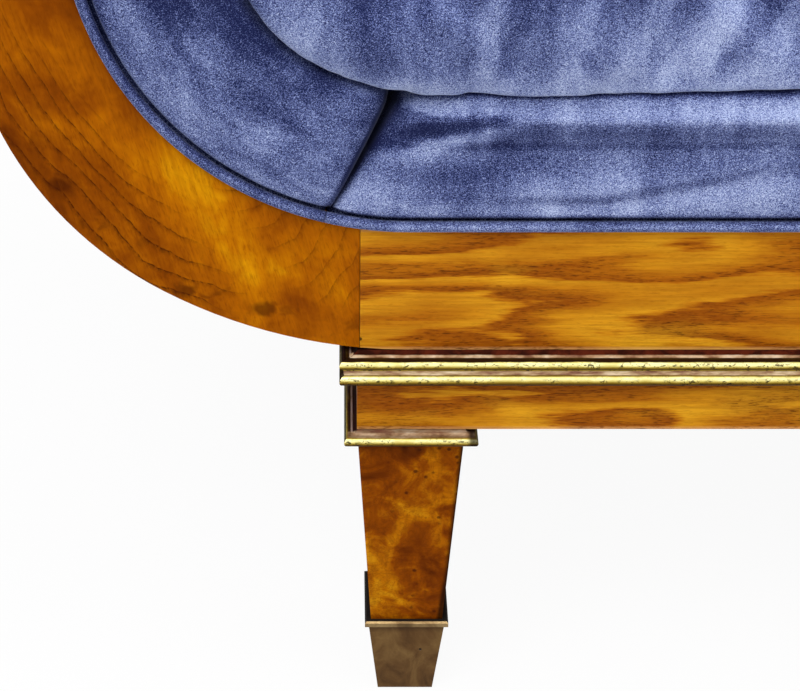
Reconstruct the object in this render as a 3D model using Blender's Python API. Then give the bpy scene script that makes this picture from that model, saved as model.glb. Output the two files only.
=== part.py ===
"""Sofa with curved ash arm fronts, a gilt double-bead base moulding and a loose velvet seat cushion.

Units are metres and +Z is up. The sofa faces -Y and is symmetric about X = 0. The origin lies on
the floor, at the centre of the overall box. Sizes of the arm, rails, mouldings, leg and sabot were
read from the photographed front left corner; the unseen rest follows usual sofa proportions.
"""

import math

import bmesh
import bpy
from mathutils import Matrix, Vector

# Gaps between pieces
CLEARANCE = 0.0003           # pieces that touch
SOFT_GAP = 0.0010            # velvet pieces that press on each other

# Plan of the base
LEG_SPACING = 1.320          # between the leg centres, along the sofa
BASE_DEPTH = 0.655           # front face of the front rail to rear face of the rear apron

# Heights of the stacked layers, from the floor up
LEG_HEIGHT = 0.1990
CAP_HEIGHT = 0.0094
APRON_HEIGHT = 0.0338
MOULDING_HEIGHT = 0.0196
RAIL_HEIGHT = 0.0770

# Legs, leg caps and sabots
LEG_TOP = 0.0610             # width of the square leg under the cap
LEG_MOUTH = 0.0440           # width where the leg enters the sabot
LEG_FOOT = 0.0324            # width of the leg at its lower end, inside the sabot
TENON_RADIUS = 0.0110
TENON_LENGTH = 0.0380        # above the top of the leg
CAP_REACH = 0.0385           # leg centre to the crest of the cap's bead
CAP_BEAD_RADIUS = 0.0033
SABOT_HEIGHT = 0.0604
SABOT_SOLE = 0.0030          # brass under the leg
SABOT_FOOT = 0.0344          # outer width on the floor
SABOT_MOUTH = 0.0465         # outer width just below the rim
SABOT_RIM = 0.0514           # outer width of the rim
SABOT_RIM_HEIGHT = 0.0038

# Base frame and gilt moulding
APRON_OUT = 0.0312           # leg centre to the outer face of the apron
APRON_THICKNESS = 0.0180
MOULDING_OUT = 0.0100        # crest of the beads in front of the apron
MOULDING_SEAT = 0.0160       # strip of the moulding that lies under the rail
BEAD_RADIUS = 0.0033
CORNER_BLOCK = 0.0560        # side of the square block in each corner
DUST_COVER = 0.0010

# Seat frame
SEAM_OUT = 0.0300            # leg centre to the butt seam between rail and arm front
RAIL_THICKNESS = 0.0380
ARM_FRONT_THICKNESS = 0.0380
BACK_FRAME = 0.0350          # thickness of the rear arm boards and back uprights
UPRIGHT_WIDTH = 0.0550
UPRIGHT_SPACING = 0.6000     # between neighbouring back uprights
BACK_RAKE = 10.0             # degrees
SIDE_RAIL_THICKNESS = 0.0380

# Arm front, seen from the front: bowl, flare and roll of the inner edge
ARM_CENTRE_OUT = 0.0040      # leg centre to the centre of the bowl's arc
ARM_RADIUS = 0.1750
FLARE_RADIUS = 0.2500
FLARE_ANGLE = 60.0           # degrees
SCROLL_RADIUS = 0.0520
SCROLL_CLOSE = 315.0         # degrees, where the roll meets the outer edge
# Outer edge: a wide arc, then a tighter one up to the waist
OUTER_CENTRE_OUT = 0.0022
OUTER_LOW_EXTRA = 0.0077     # wide arc's radius beyond the bowl's radius and the rail's height
OUTER_SPLIT = 31.5           # degrees of the wide arc
WAIST_WIDTH = 0.0527         # wood between the edges at the waist

# Crest rail
CREST_TOP = 0.9050
CREST_SHOULDER_RISE = 0.0415 # crest's end above the centre of the arm's roll
CREST_HEIGHT = 0.0700
CREST_THICKNESS = 0.0550

# Upholstery
PAD_THICKNESS = 0.0800       # arm pad and seat roll, from the wood to the velvet's crown
ROLL_PAD = 0.0300            # arm pad where the roll begins
ROLL_PAD_END = 0.0100
PAD_BULGE = 0.0060           # front borders swell this far past the wood
PAD_EDGE_ROUND = 0.0160
PAD_DRAW_IN = 0.0050         # the arm pad's inner face falls back this far at its edges
DECK_THICKNESS = 0.0320
BORDER_THICKNESS = 0.0560    # stuffed front and rear walls of the seat pad
SEAM_LOW_OUT = 0.0495        # slanted seam between seat and arm, at the wood
SEAM_TOP_OUT = 0.0095        # the same seam, at the top of the roll
BACK_PAD_EDGE = 0.0400
BACK_PAD_CROWN = 0.0600
WELT_RADIUS = 0.0031
WELT_OUT = 0.0012            # centre of the welt in front of the wood
WELT_NOTCH = 0.0040          # borders stand back this far behind the welt
CANVAS_THICKNESS = 0.0030
OUTSIDE_COVER = 0.0060
OUTSIDE_INSET = 0.0040       # outside arm cover behind the edge of the arm boards

# Loose seat cushion
CUSHION_THICKNESS = 0.0920
CUSHION_CROWN = 0.0120
CUSHION_OVERHANG = 0.0040    # in front of the wood's front plane, level with the seat's roll
CUSHION_BACK_SPACE = 0.0920  # behind the cushion, up to the rear plane of the base, for the back pad
CUSHION_EDGE = 0.0220        # rounding of the cushion's edges
CUSHION_GAP = 0.0015

# Seat suspension
STRAP_THICKNESS = 0.0020
STRAP_WIDTH = 0.0900
SPRING_RADIUS = 0.0380
SPRING_WIRE = 0.0020         # wire radius
SPRING_TURNS = 4.5
SPRING_COLUMNS = 6
SPRING_ROWS = 2
SPRING_PITCH_X = 0.2000
SPRING_PITCH_Y = 0.2200

# Facets
ARC_STEP = 7.5               # degrees between points on the drawn arcs
OUTER_STEP = 2.5             # the same on the arm's outer edge, which stands out against the room
ROUND_SIDES = 24
COIL_POINTS = 8              # in one turn of a spring

# Heights that follow
LEG_X = LEG_SPACING / 2
CAP_BOTTOM = LEG_HEIGHT + CLEARANCE
APRON_BOTTOM = CAP_BOTTOM + CAP_HEIGHT + CLEARANCE
MOULDING_BOTTOM = APRON_BOTTOM + APRON_HEIGHT + CLEARANCE
RAIL_BOTTOM = MOULDING_BOTTOM + MOULDING_HEIGHT + CLEARANCE
RAIL_TOP = RAIL_BOTTOM + RAIL_HEIGHT
DECK_TOP = RAIL_TOP + PAD_THICKNESS
DECK_UNDERSIDE = DECK_TOP - DECK_THICKNESS

# Depths that follow: the overall box is centred on Y = 0
RAKE_SLOPE = math.tan(math.radians(BACK_RAKE))
RAKE_OVERHANG = (CREST_TOP - RAIL_BOTTOM) * RAKE_SLOPE
OVERALL_DEPTH = MOULDING_OUT + BASE_DEPTH + RAKE_OVERHANG
FRONT = -OVERALL_DEPTH / 2 + MOULDING_OUT
REAR = FRONT + BASE_DEPTH
LEG_FRONT_Y = FRONT + APRON_OUT
LEG_REAR_Y = REAR - APRON_OUT
CUSHION_DEPTH = BASE_DEPTH + CUSHION_OVERHANG - CUSHION_BACK_SPACE

# Centres of the arm's arcs, as distance out from the leg centre and height
BOWL_CENTRE = Vector((ARM_CENTRE_OUT, RAIL_TOP + ARM_RADIUS))
FLARE_CENTRE = BOWL_CENTRE + Vector((ARM_RADIUS + FLARE_RADIUS, 0))

# Finishes: base colour, roughness, metallic
FINISHES = {
    "ash_veneer": ((0.52, 0.23, 0.040), 0.32, 0.0),
    "burl_veneer": ((0.36, 0.16, 0.045), 0.35, 0.0),
    "gilt": ((0.72, 0.52, 0.20), 0.30, 1.0),
    "brass": ((0.30, 0.22, 0.11), 0.38, 1.0),
    "velvet": ((0.105, 0.130, 0.300), 0.90, 0.0),
    "beech": ((0.48, 0.33, 0.19), 0.60, 0.0),
    "canvas": ((0.42, 0.33, 0.21), 0.90, 0.0),
    "jute_and_steel": ((0.33, 0.27, 0.18), 0.80, 0.0),
    "black_cloth": ((0.015, 0.015, 0.017), 0.95, 0.0),
}


def clear_scene():
    for item in list(bpy.data.objects):
        bpy.data.objects.remove(item, do_unlink=True)


def new_collection(name):
    collection = bpy.data.collections.new(name)
    bpy.context.scene.collection.children.link(collection)
    return collection


clear_scene()
PARTS = new_collection("art_nouveau_sofa")
CUTTERS = new_collection("art_nouveau_sofa_cutters")


# Objects from shapes

def material_for(name, finish):
    colour, roughness, metallic = FINISHES[finish]
    material = bpy.data.materials.new(name + "_" + finish)
    material.use_nodes = True
    shader = material.node_tree.nodes["Principled BSDF"]
    shader.inputs["Base Color"].default_value = (*colour, 1.0)
    shader.inputs["Roughness"].default_value = roughness
    shader.inputs["Metallic"].default_value = metallic
    material.diffuse_color = (*colour, 1.0)
    return material


def add_part(name, mesh, finish):
    mesh.materials.clear()
    mesh.materials.append(material_for(name, finish))
    part = bpy.data.objects.new(name, mesh)
    PARTS.objects.link(part)
    return part


def add_helper(name, mesh):
    helper = bpy.data.objects.new(name, mesh)
    helper.hide_render = True
    helper.display_type = "WIRE"
    CUTTERS.objects.link(helper)
    return helper


def mesh_from(name, shape, smooth):
    bmesh.ops.recalc_face_normals(shape, faces=shape.faces[:])
    mesh = bpy.data.meshes.new(name)
    shape.to_mesh(mesh)
    shape.free()
    if smooth:
        mesh.shade_smooth()
        mesh.set_sharp_from_angle(angle=math.radians(35))
    return mesh


def box_mesh(name, low, high):
    low = Vector(low)
    high = Vector(high)
    size = high - low
    shape = bmesh.new()
    bmesh.ops.create_cube(shape, size=1.0)
    bmesh.ops.scale(shape, vec=size, verts=shape.verts[:])
    bmesh.ops.translate(shape, vec=(low + high) / 2, verts=shape.verts[:])
    return mesh_from(name, shape, False)


def cylinder_mesh(name, centre, radius, bottom, top):
    shape = bmesh.new()
    bmesh.ops.create_cone(
        shape,
        cap_ends=True,
        segments=ROUND_SIDES,
        radius1=radius,
        radius2=radius,
        depth=top - bottom,
        matrix=Matrix.Translation((centre[0], centre[1], (bottom + top) / 2)),
    )
    return mesh_from(name, shape, True)


def mesh_of_curve(curve):
    """The mesh of a filled curve, with its loose caps welded on."""
    holder = bpy.data.objects.new(curve.name + "_curve", curve)
    CUTTERS.objects.link(holder)
    graph = bpy.context.evaluated_depsgraph_get()
    mesh = bpy.data.meshes.new_from_object(holder.evaluated_get(graph))
    bpy.data.objects.remove(holder, do_unlink=True)
    shape = bmesh.new()
    shape.from_mesh(mesh)
    bmesh.ops.remove_doubles(shape, verts=shape.verts[:], dist=0.000001)
    return shape


def flat_curve(name, outline):
    curve = bpy.data.curves.new(name, "CURVE")
    curve.dimensions = "2D"
    curve.fill_mode = "BOTH"
    curve.extrude = 0.5
    spline = curve.splines.new("POLY")
    spline.points.add(len(outline) - 1)
    for point, place in zip(spline.points, outline):
        point.co = (place[0], place[1], 0.0, 1.0)
    spline.use_cyclic_u = True
    return curve


def prism(name, outline, front, rear, finish):
    """A board cut to an outline in X and Z; front and rear give its Y at each height."""
    shape = mesh_of_curve(flat_curve(name, outline))
    for corner in shape.verts:
        across, height, side = corner.co
        corner.co = (across, rear(height) if side < 0 else front(height), height)
    return add_part(name, mesh_from(name, shape, True), finish)


def sheet(name, outline, bottom, top, finish):
    """A flat sheet cut to an outline in X and Y."""
    shape = mesh_of_curve(flat_curve(name, outline))
    for corner in shape.verts:
        corner.co.z = bottom if corner.co.z < 0 else top
    return add_part(name, mesh_from(name, shape, False), finish)


def loft_mesh(name, rings, smooth=True):
    """A closed skin through rings of equal count, capped at both ends."""
    shape = bmesh.new()
    loops = []
    for ring in rings:
        loops.append([shape.verts.new(place) for place in ring])
    count = len(loops[0])
    for near, far in zip(loops, loops[1:]):
        for index in range(count):
            following = (index + 1) % count
            shape.faces.new((near[index], near[following], far[following], far[index]))
    shape.faces.new(loops[0])
    shape.faces.new(loops[-1])
    bmesh.ops.triangulate(shape, faces=[face for face in shape.faces if len(face.verts) > 4])
    return mesh_from(name, shape, smooth)


def square_turning(name, centre, profile):
    """Square sections along a profile of half widths and heights."""
    rings = []
    for half, height in profile:
        corners = ((-half, -half), (half, -half), (half, half), (-half, half))
        rings.append([(centre[0] + x, centre[1] + y, height) for x, y in corners])
    return loft_mesh(name, rings, smooth=False)


def tube(name, points, radius, finish):
    curve = bpy.data.curves.new(name, "CURVE")
    curve.dimensions = "3D"
    curve.bevel_depth = radius
    curve.bevel_resolution = 1
    curve.use_fill_caps = True
    spline = curve.splines.new("POLY")
    spline.points.add(len(points) - 1)
    for point, place in zip(spline.points, points):
        point.co = (*place, 1.0)
    return add_part(name, mesh_from(name, mesh_of_curve(curve), True), finish)


def combine(part, helper, operation):
    modifier = part.modifiers.new(operation.lower() + "_" + helper.name, "BOOLEAN")
    modifier.operation = operation
    modifier.solver = "EXACT"
    modifier.object = helper


# Lines of the arm, as distance out from the leg centre and height

def direction(angle):
    """Unit vector at an angle in degrees from straight down, turning outwards."""
    turn = math.radians(angle)
    return Vector((math.sin(turn), -math.cos(turn)))


def spread(first, last, step=ARC_STEP):
    count = max(2, math.ceil(abs(last - first) / step))
    return [first + (last - first) * index / count for index in range(count + 1)]


def shared_angles(first, last, step=ARC_STEP):
    """Angles on a grid that every piece along the arc shares, so that their facets line up."""
    count = math.floor(last / step)
    inner = [index * step for index in range(count + 1)]
    margin = step * 0.1
    return [first] + [angle for angle in inner if first + margin < angle < last - margin] + [last]


def roll_centre():
    return FLARE_CENTRE + (FLARE_RADIUS - SCROLL_RADIUS) * direction(-90 - FLARE_ANGLE)


def bowl_angle(out, radius=ARM_RADIUS):
    """Angle on the bowl's arc at a distance out from the leg centre."""
    return math.degrees(math.asin((out - ARM_CENTRE_OUT) / radius))


class Station:
    """A place on the arm's inner edge. Progress runs 0 to 1 on the bowl, 2 on the flare, 3 on the roll."""

    def __init__(self, centre, radius, angle, inward, progress):
        self.centre = centre
        self.radius = radius
        self.angle = angle
        self.inward = inward
        self.progress = progress

    def at(self, offset):
        """The point this far from the wood's edge towards the sitter."""
        return self.centre + (self.radius - self.inward * offset) * direction(self.angle)


def arm_stations(first, flare_end=FLARE_ANGLE, roll_end=None):
    stations = []
    for angle in shared_angles(first, 90.0):
        stations.append(Station(BOWL_CENTRE, ARM_RADIUS, angle, 1, (angle - first) / (90.0 - first)))
    for angle in shared_angles(0.0, flare_end)[1:]:
        progress = 1 + angle / FLARE_ANGLE
        stations.append(Station(FLARE_CENTRE, FLARE_RADIUS, -90 - angle, -1, progress))
    if roll_end is not None:
        span = roll_end - FLARE_ANGLE
        for angle in shared_angles(FLARE_ANGLE, roll_end, 2 * ARC_STEP)[1:]:
            progress = 2 + (angle - FLARE_ANGLE) / span
            stations.append(Station(roll_centre(), SCROLL_RADIUS, -90 - angle, -1, progress))
    return stations


OUTER_LOW_RADIUS = ARM_RADIUS + RAIL_HEIGHT + OUTER_LOW_EXTRA
OUTER_LOW_CENTRE = Vector((OUTER_CENTRE_OUT, RAIL_BOTTOM + OUTER_LOW_RADIUS))


def outer_edge(inset, first_out):
    """The arm's outer edge from the seam up to the roll, moved in by the inset."""
    sine = math.sin(math.radians(OUTER_SPLIT))
    waist_out = ARM_CENTRE_OUT + ARM_RADIUS + WAIST_WIDTH
    high_radius = (waist_out - OUTER_CENTRE_OUT - OUTER_LOW_RADIUS * sine) / (1 - sine)
    high_centre = OUTER_LOW_CENTRE + (OUTER_LOW_RADIUS - high_radius) * direction(OUTER_SPLIT)
    waist = high_centre + high_radius * direction(90)
    crease = roll_centre() + SCROLL_RADIUS * direction(-90 - SCROLL_CLOSE)
    reach = crease - waist
    neck_radius = reach.length_squared / (2 * reach.x)
    neck_centre = waist + Vector((neck_radius, 0))
    neck_angle = math.degrees(math.asin(reach.y / neck_radius))
    low = OUTER_LOW_RADIUS - inset
    first = math.degrees(math.asin((first_out - OUTER_CENTRE_OUT) / low))
    points = [OUTER_LOW_CENTRE + low * direction(angle) for angle in spread(first, OUTER_SPLIT, OUTER_STEP)]
    for angle in spread(OUTER_SPLIT, 90.0, OUTER_STEP)[1:]:
        points.append(high_centre + (high_radius - inset) * direction(angle))
    for angle in spread(0.0, neck_angle, OUTER_STEP)[1:]:
        points.append(neck_centre + (neck_radius + inset) * direction(-90 - angle))
    return points


def flare_out(height):
    """Distance out of the wood's inner edge on the flare, at a height."""
    rise = height - FLARE_CENTRE.y
    return FLARE_CENTRE.x - math.sqrt(FLARE_RADIUS ** 2 - rise ** 2)


def placed(side, points):
    """Out-and-height points as X and Z on the left (-1) or right (+1) end."""
    return [(side * (LEG_X + point[0]), point[1]) for point in points]


def rear_face(back_from=0.0):
    """Y of the raked rear face at a height, moved forward by a thickness."""
    return lambda height: REAR + (height - RAIL_BOTTOM) * RAKE_SLOPE - back_from


def level(y):
    return lambda height: y


# Legs, caps, sabots and corner blocks

def leg_half(height):
    """Half the leg's width at a height: it tapers faster inside the sabot."""
    if height < SABOT_HEIGHT:
        low = SABOT_SOLE + CLEARANCE
        share = (height - low) / (SABOT_HEIGHT - low)
        return (LEG_FOOT + (LEG_MOUTH - LEG_FOOT) * share) / 2
    share = (height - SABOT_HEIGHT) / (LEG_HEIGHT - SABOT_HEIGHT)
    return (LEG_MOUTH + (LEG_TOP - LEG_MOUTH) * share) / 2


def make_leg(name, centre):
    foot = SABOT_SOLE + CLEARANCE
    profile = [(leg_half(height), height) for height in (foot, SABOT_HEIGHT, LEG_HEIGHT)]
    leg = add_part(name + "_leg", square_turning(name + "_leg", centre, profile), "burl_veneer")
    tenon = cylinder_mesh(
        name + "_tenon", centre, TENON_RADIUS, LEG_HEIGHT - CAP_HEIGHT, LEG_HEIGHT + TENON_LENGTH
    )
    combine(leg, add_helper(name + "_tenon", tenon), "UNION")


def make_cap(name, centre):
    bead_half = CAP_REACH - CAP_BEAD_RADIUS
    bead_height = CAP_BOTTOM + CAP_BEAD_RADIUS + 0.0010
    profile = [(bead_half - 0.0020, CAP_BOTTOM), (bead_half - 0.0004, CAP_BOTTOM + 0.0006)]
    for angle in spread(-60.0, 80.0, 20.0):
        turn = math.radians(angle)
        profile.append(
            (bead_half + CAP_BEAD_RADIUS * math.cos(turn), bead_height + CAP_BEAD_RADIUS * math.sin(turn))
        )
    ledge = bead_height + CAP_BEAD_RADIUS - 0.0002
    top = CAP_BOTTOM + CAP_HEIGHT
    profile.append((bead_half, ledge))
    profile.append((bead_half - 0.0022, ledge + 0.0001))
    profile.append((APRON_OUT + 0.0004, ledge + (top - ledge) * 0.45))
    profile.append((APRON_OUT, top))
    cap = add_part(name + "_leg_cap", square_turning(name + "_leg_cap", centre, profile), "gilt")
    bore = cylinder_mesh(
        name + "_cap_bore", centre, TENON_RADIUS + CLEARANCE, CAP_BOTTOM - CAP_HEIGHT, top + CAP_HEIGHT
    )
    combine(cap, add_helper(name + "_cap_bore", bore), "DIFFERENCE")


def make_sabot(name, centre):
    rim_bottom = SABOT_HEIGHT - SABOT_RIM_HEIGHT
    profile = (
        (SABOT_FOOT / 2, 0.0),
        (SABOT_MOUTH / 2, rim_bottom - 0.0010),
        (SABOT_RIM / 2, rim_bottom),
        (SABOT_RIM / 2, SABOT_HEIGHT - 0.0010),
        (SABOT_RIM / 2 - 0.0010, SABOT_HEIGHT),
        (leg_half(SABOT_HEIGHT) + CLEARANCE, SABOT_HEIGHT),
        (leg_half(SABOT_SOLE) + CLEARANCE, SABOT_SOLE),
    )
    add_part(name + "_sabot", square_turning(name + "_sabot", centre, profile), "brass")


def make_corner_block(name, side, front_or_back, centre):
    outer_x = LEG_X + APRON_OUT - APRON_THICKNESS - CLEARANCE
    inner_x = outer_x - CORNER_BLOCK
    if front_or_back < 0:
        outer_y = FRONT + APRON_THICKNESS + CLEARANCE
    else:
        outer_y = REAR - APRON_THICKNESS - CLEARANCE
    inner_y = outer_y - front_or_back * CORNER_BLOCK
    x_ends = sorted((side * outer_x, side * inner_x))
    y_ends = sorted((outer_y, inner_y))
    low = (x_ends[0], y_ends[0], APRON_BOTTOM)
    high = (x_ends[1], y_ends[1], APRON_BOTTOM + APRON_HEIGHT)
    block_name = name + "_corner_block"
    block = add_part(block_name, box_mesh(block_name, low, high), "beech")
    bore = cylinder_mesh(
        name + "_block_bore",
        centre,
        TENON_RADIUS + CLEARANCE,
        APRON_BOTTOM - CAP_HEIGHT,
        LEG_HEIGHT + TENON_LENGTH + CLEARANCE,
    )
    combine(block, add_helper(name + "_block_bore", bore), "DIFFERENCE")


def make_supports():
    for side, side_name in ((-1, "left"), (1, "right")):
        for depth_sign, depth_name, y in ((-1, "front", LEG_FRONT_Y), (1, "rear", LEG_REAR_Y)):
            name = depth_name + "_" + side_name
            centre = (side * LEG_X, y)
            make_leg(name, centre)
            make_cap(name, centre)
            make_sabot(name, centre)
            make_corner_block(name, side, depth_sign, centre)


# Base frame, gilt mouldings and seat rails

def make_aprons():
    top = APRON_BOTTOM + APRON_HEIGHT
    end = LEG_X + APRON_OUT
    for name, near, far in (
        ("front_apron", FRONT, FRONT + APRON_THICKNESS),
        ("rear_apron", REAR - APRON_THICKNESS, REAR),
    ):
        mesh = box_mesh(name, (-end, near, APRON_BOTTOM), (end, far, top))
        add_part(name, mesh, "ash_veneer")
    near = FRONT + APRON_THICKNESS + CLEARANCE
    far = REAR - APRON_THICKNESS - CLEARANCE
    for side, name in ((-1, "left_apron"), (1, "right_apron")):
        x_ends = sorted((side * end, side * (end - APRON_THICKNESS)))
        mesh = box_mesh(name, (x_ends[0], near, APRON_BOTTOM), (x_ends[1], far, top))
        add_part(name, mesh, "ash_veneer")


def moulding_profile():
    """Cove, fillet and two beads, as distance in front of the apron and height."""
    top = MOULDING_BOTTOM + MOULDING_HEIGHT
    axis = MOULDING_OUT - BEAD_RADIUS
    lower = MOULDING_BOTTOM + BEAD_RADIUS + 0.0007
    upper = top - 0.0018 - BEAD_RADIUS
    profile = [(-MOULDING_SEAT, MOULDING_BOTTOM), (axis - 0.0008, MOULDING_BOTTOM)]
    for centre in (lower, upper):
        for angle in spread(-70.0, 80.0, 25.0):
            turn = math.radians(angle)
            profile.append((axis + BEAD_RADIUS * math.cos(turn), centre + BEAD_RADIUS * math.sin(turn)))
    ledge = top - 0.0026
    profile.append((axis - 0.0006, ledge))
    profile.append((axis - 0.0038, ledge + 0.0002))
    profile.append((0.0012, top - 0.0014))
    profile.append((0.0, top))
    profile.append((-MOULDING_SEAT, top))
    return profile


def make_mouldings():
    profile = moulding_profile()
    end = LEG_X + APRON_OUT
    rings = []
    for side in (-1, 1):
        rings.append([(side * (end + out), FRONT - out, height) for out, height in profile])
    add_part("front_gilt_moulding", loft_mesh("front_gilt_moulding", rings), "gilt")
    mitre_gap = 2 * CLEARANCE
    for side, name in ((-1, "left_gilt_moulding"), (1, "right_gilt_moulding")):
        near = [(side * (end + out), FRONT - out + mitre_gap, height) for out, height in profile]
        far = [(side * (end + out), REAR, height) for out, height in profile]
        add_part(name, loft_mesh(name, [near, far]), "gilt")


def make_rear_strip():
    """Plain strip that fills the moulding's height along the rear, between the side mouldings."""
    reach = LEG_X + APRON_OUT - MOULDING_SEAT - CLEARANCE
    low = (-reach, REAR - MOULDING_SEAT, MOULDING_BOTTOM)
    high = (reach, REAR, MOULDING_BOTTOM + MOULDING_HEIGHT)
    add_part("rear_base_strip", box_mesh("rear_base_strip", low, high), "ash_veneer")


def rail_outline():
    """A rail between the seams: its edges already bend into the arm's arcs at both ends."""
    out = SEAM_OUT - CLEARANCE
    low_end = math.degrees(math.asin((out - OUTER_CENTRE_OUT) / OUTER_LOW_RADIUS))
    lower = [OUTER_LOW_CENTRE + OUTER_LOW_RADIUS * direction(a) for a in spread(0.0, low_end)]
    upper = [BOWL_CENTRE + ARM_RADIUS * direction(a) for a in spread(0.0, bowl_angle(out))]
    right = placed(1, lower) + placed(1, upper[::-1])
    return right + [(-x, z) for x, z in right[::-1]]


def make_seat_rails():
    outline = rail_outline()
    prism("front_seat_rail", outline, level(FRONT), level(FRONT + RAIL_THICKNESS), "ash_veneer")
    prism("rear_seat_rail", outline, rear_face(RAIL_THICKNESS), rear_face(), "ash_veneer")
    near = level(FRONT + RAIL_THICKNESS + CLEARANCE)
    far = rear_face(RAIL_THICKNESS + CLEARANCE)
    outer = LEG_X + SEAM_OUT - CLEARANCE
    inner = outer - SIDE_RAIL_THICKNESS
    for side, name in ((-1, "left_seat_rail"), (1, "right_seat_rail")):
        corners = ((inner, RAIL_BOTTOM), (outer, RAIL_BOTTOM), (outer, RAIL_TOP), (inner, RAIL_TOP))
        prism(name, [(side * x, z) for x, z in corners], near, far, "beech")


# Arms

ARM_BACK_OF_FRONT = FRONT + ARM_FRONT_THICKNESS + CLEARANCE


def arm_outline(side):
    inner = [place.at(0.0) for place in arm_stations(bowl_angle(SEAM_OUT), roll_end=SCROLL_CLOSE)]
    outer = outer_edge(0.0, SEAM_OUT)
    return placed(side, inner + outer[-2::-1])


def canvas_end():
    """Flare angle where the canvas reaches the roll's rail."""
    reach = SCROLL_RADIUS + CANVAS_THICKNESS + 4 * CLEARANCE
    drop = reach ** 2 - SCROLL_RADIUS ** 2
    cosine = 1 - drop / (2 * FLARE_RADIUS * (FLARE_RADIUS - SCROLL_RADIUS))
    return FLARE_ANGLE - math.degrees(math.acos(cosine))


def make_arm_frame(side, name):
    outline = arm_outline(side)
    back = level(FRONT + ARM_FRONT_THICKNESS)
    prism(name + "_arm_front", outline, level(FRONT), back, "ash_veneer")
    prism(name + "_arm_rear", outline, rear_face(BACK_FRAME), rear_face(), "ash_veneer")
    near = level(ARM_BACK_OF_FRONT)
    far = rear_face(BACK_FRAME + CLEARANCE)
    rail_radius = SCROLL_RADIUS - CLEARANCE
    circle = [
        roll_centre() + rail_radius * direction(360.0 * index / ROUND_SIDES)
        for index in range(ROUND_SIDES)
    ]
    prism(name + "_arm_top_rail", placed(side, circle), near, far, "beech")
    stations = arm_stations(bowl_angle(SEAM_OUT + SOFT_GAP), flare_end=canvas_end())
    face = [place.at(-CLEARANCE) for place in stations]
    behind = [place.at(-CLEARANCE - CANVAS_THICKNESS) for place in stations]
    prism(name + "_arm_canvas", placed(side, face + behind[::-1]), near, far, "canvas")
    skin = outer_edge(OUTSIDE_INSET, SEAM_OUT + CLEARANCE)
    lining = outer_edge(OUTSIDE_INSET + OUTSIDE_COVER, SEAM_OUT + CLEARANCE)
    prism(name + "_outside_arm", placed(side, skin + lining[::-1]), near, far, "velvet")


# Back frame

CREST_SHOULDER = roll_centre().y + CREST_SHOULDER_RISE
SHOULDER_X = LEG_X + flare_out(CREST_SHOULDER)


def crest_edge(x):
    """Height of the crest rail's top edge across the back: a flat hump with low shoulders."""
    share = min(1.0, abs(x) / SHOULDER_X) ** 1.6
    rise = math.cos(math.pi / 2 * share) ** 2
    return CREST_SHOULDER + (CREST_TOP - CREST_SHOULDER) * rise


def crest_underside(x):
    return crest_edge(x) - CREST_HEIGHT


def crest_foot():
    """X where the crest's lower edge meets the rear arm board."""
    x = SHOULDER_X
    for _ in range(40):
        x = LEG_X + flare_out(crest_underside(x))
    return x


CREST_FOOT_X = crest_foot()
CREST_STEPS = 24


def make_crest():
    top = [-SHOULDER_X + 2 * SHOULDER_X * index / CREST_STEPS for index in range(CREST_STEPS + 1)]
    low = [CREST_FOOT_X - 2 * CREST_FOOT_X * index / CREST_STEPS for index in range(CREST_STEPS + 1)]
    foot = crest_underside(CREST_FOOT_X)
    heights = [CREST_SHOULDER + (foot - CREST_SHOULDER) * share for share in (0.25, 0.5, 0.75)]
    right_end = [(LEG_X + flare_out(height), height) for height in heights]
    left_end = [(-x, height) for x, height in right_end[::-1]]
    outline = [(x, crest_edge(x)) for x in top] + right_end
    outline += [(x, crest_underside(x)) for x in low] + left_end
    fitted = []
    for x, height in outline:
        near_end = abs(x) > CREST_FOOT_X - SOFT_GAP
        fitted.append((math.copysign(abs(x) - CLEARANCE * 2, x) if near_end else x, height))
    prism("back_crest_rail", fitted, rear_face(CREST_THICKNESS), rear_face(), "ash_veneer")


def make_uprights():
    near = rear_face(BACK_FRAME)
    far = rear_face(OUTSIDE_COVER + 2 * CLEARANCE)
    bottom = RAIL_TOP + CLEARANCE
    for place, name in ((-1, "left"), (0, "centre"), (1, "right")):
        middle = place * UPRIGHT_SPACING
        low_x = middle - UPRIGHT_WIDTH / 2
        high_x = middle + UPRIGHT_WIDTH / 2
        outline = [(low_x, bottom), (high_x, bottom)]
        for x in (high_x, low_x):
            outline.append((x, crest_underside(x) - 3 * CLEARANCE))
        prism(name + "_back_upright", outline, near, far, "beech")


def make_outside_back():
    edge = []
    for place in arm_stations(bowl_angle(SEAM_OUT), flare_end=FLARE_ANGLE):
        out, height = place.at(SOFT_GAP)
        if height < crest_underside(CREST_FOOT_X) - SOFT_GAP:
            edge.append((LEG_X + out, height))
    reach = CREST_FOOT_X - 3 * SOFT_GAP
    top = [reach - 2 * reach * index / CREST_STEPS for index in range(CREST_STEPS + 1)]
    outline = [(LEG_X, RAIL_TOP + SOFT_GAP)] + edge
    outline += [(x, crest_underside(x) - SOFT_GAP) for x in top]
    outline += [(-x, height) for x, height in edge[::-1]] + [(-LEG_X, RAIL_TOP + SOFT_GAP)]
    prism("outside_back", outline, rear_face(OUTSIDE_COVER + CLEARANCE), rear_face(CLEARANCE), "velvet")


# Upholstery

WELT_ROOM = 2 * WELT_RADIUS + 4 * CLEARANCE


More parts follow.
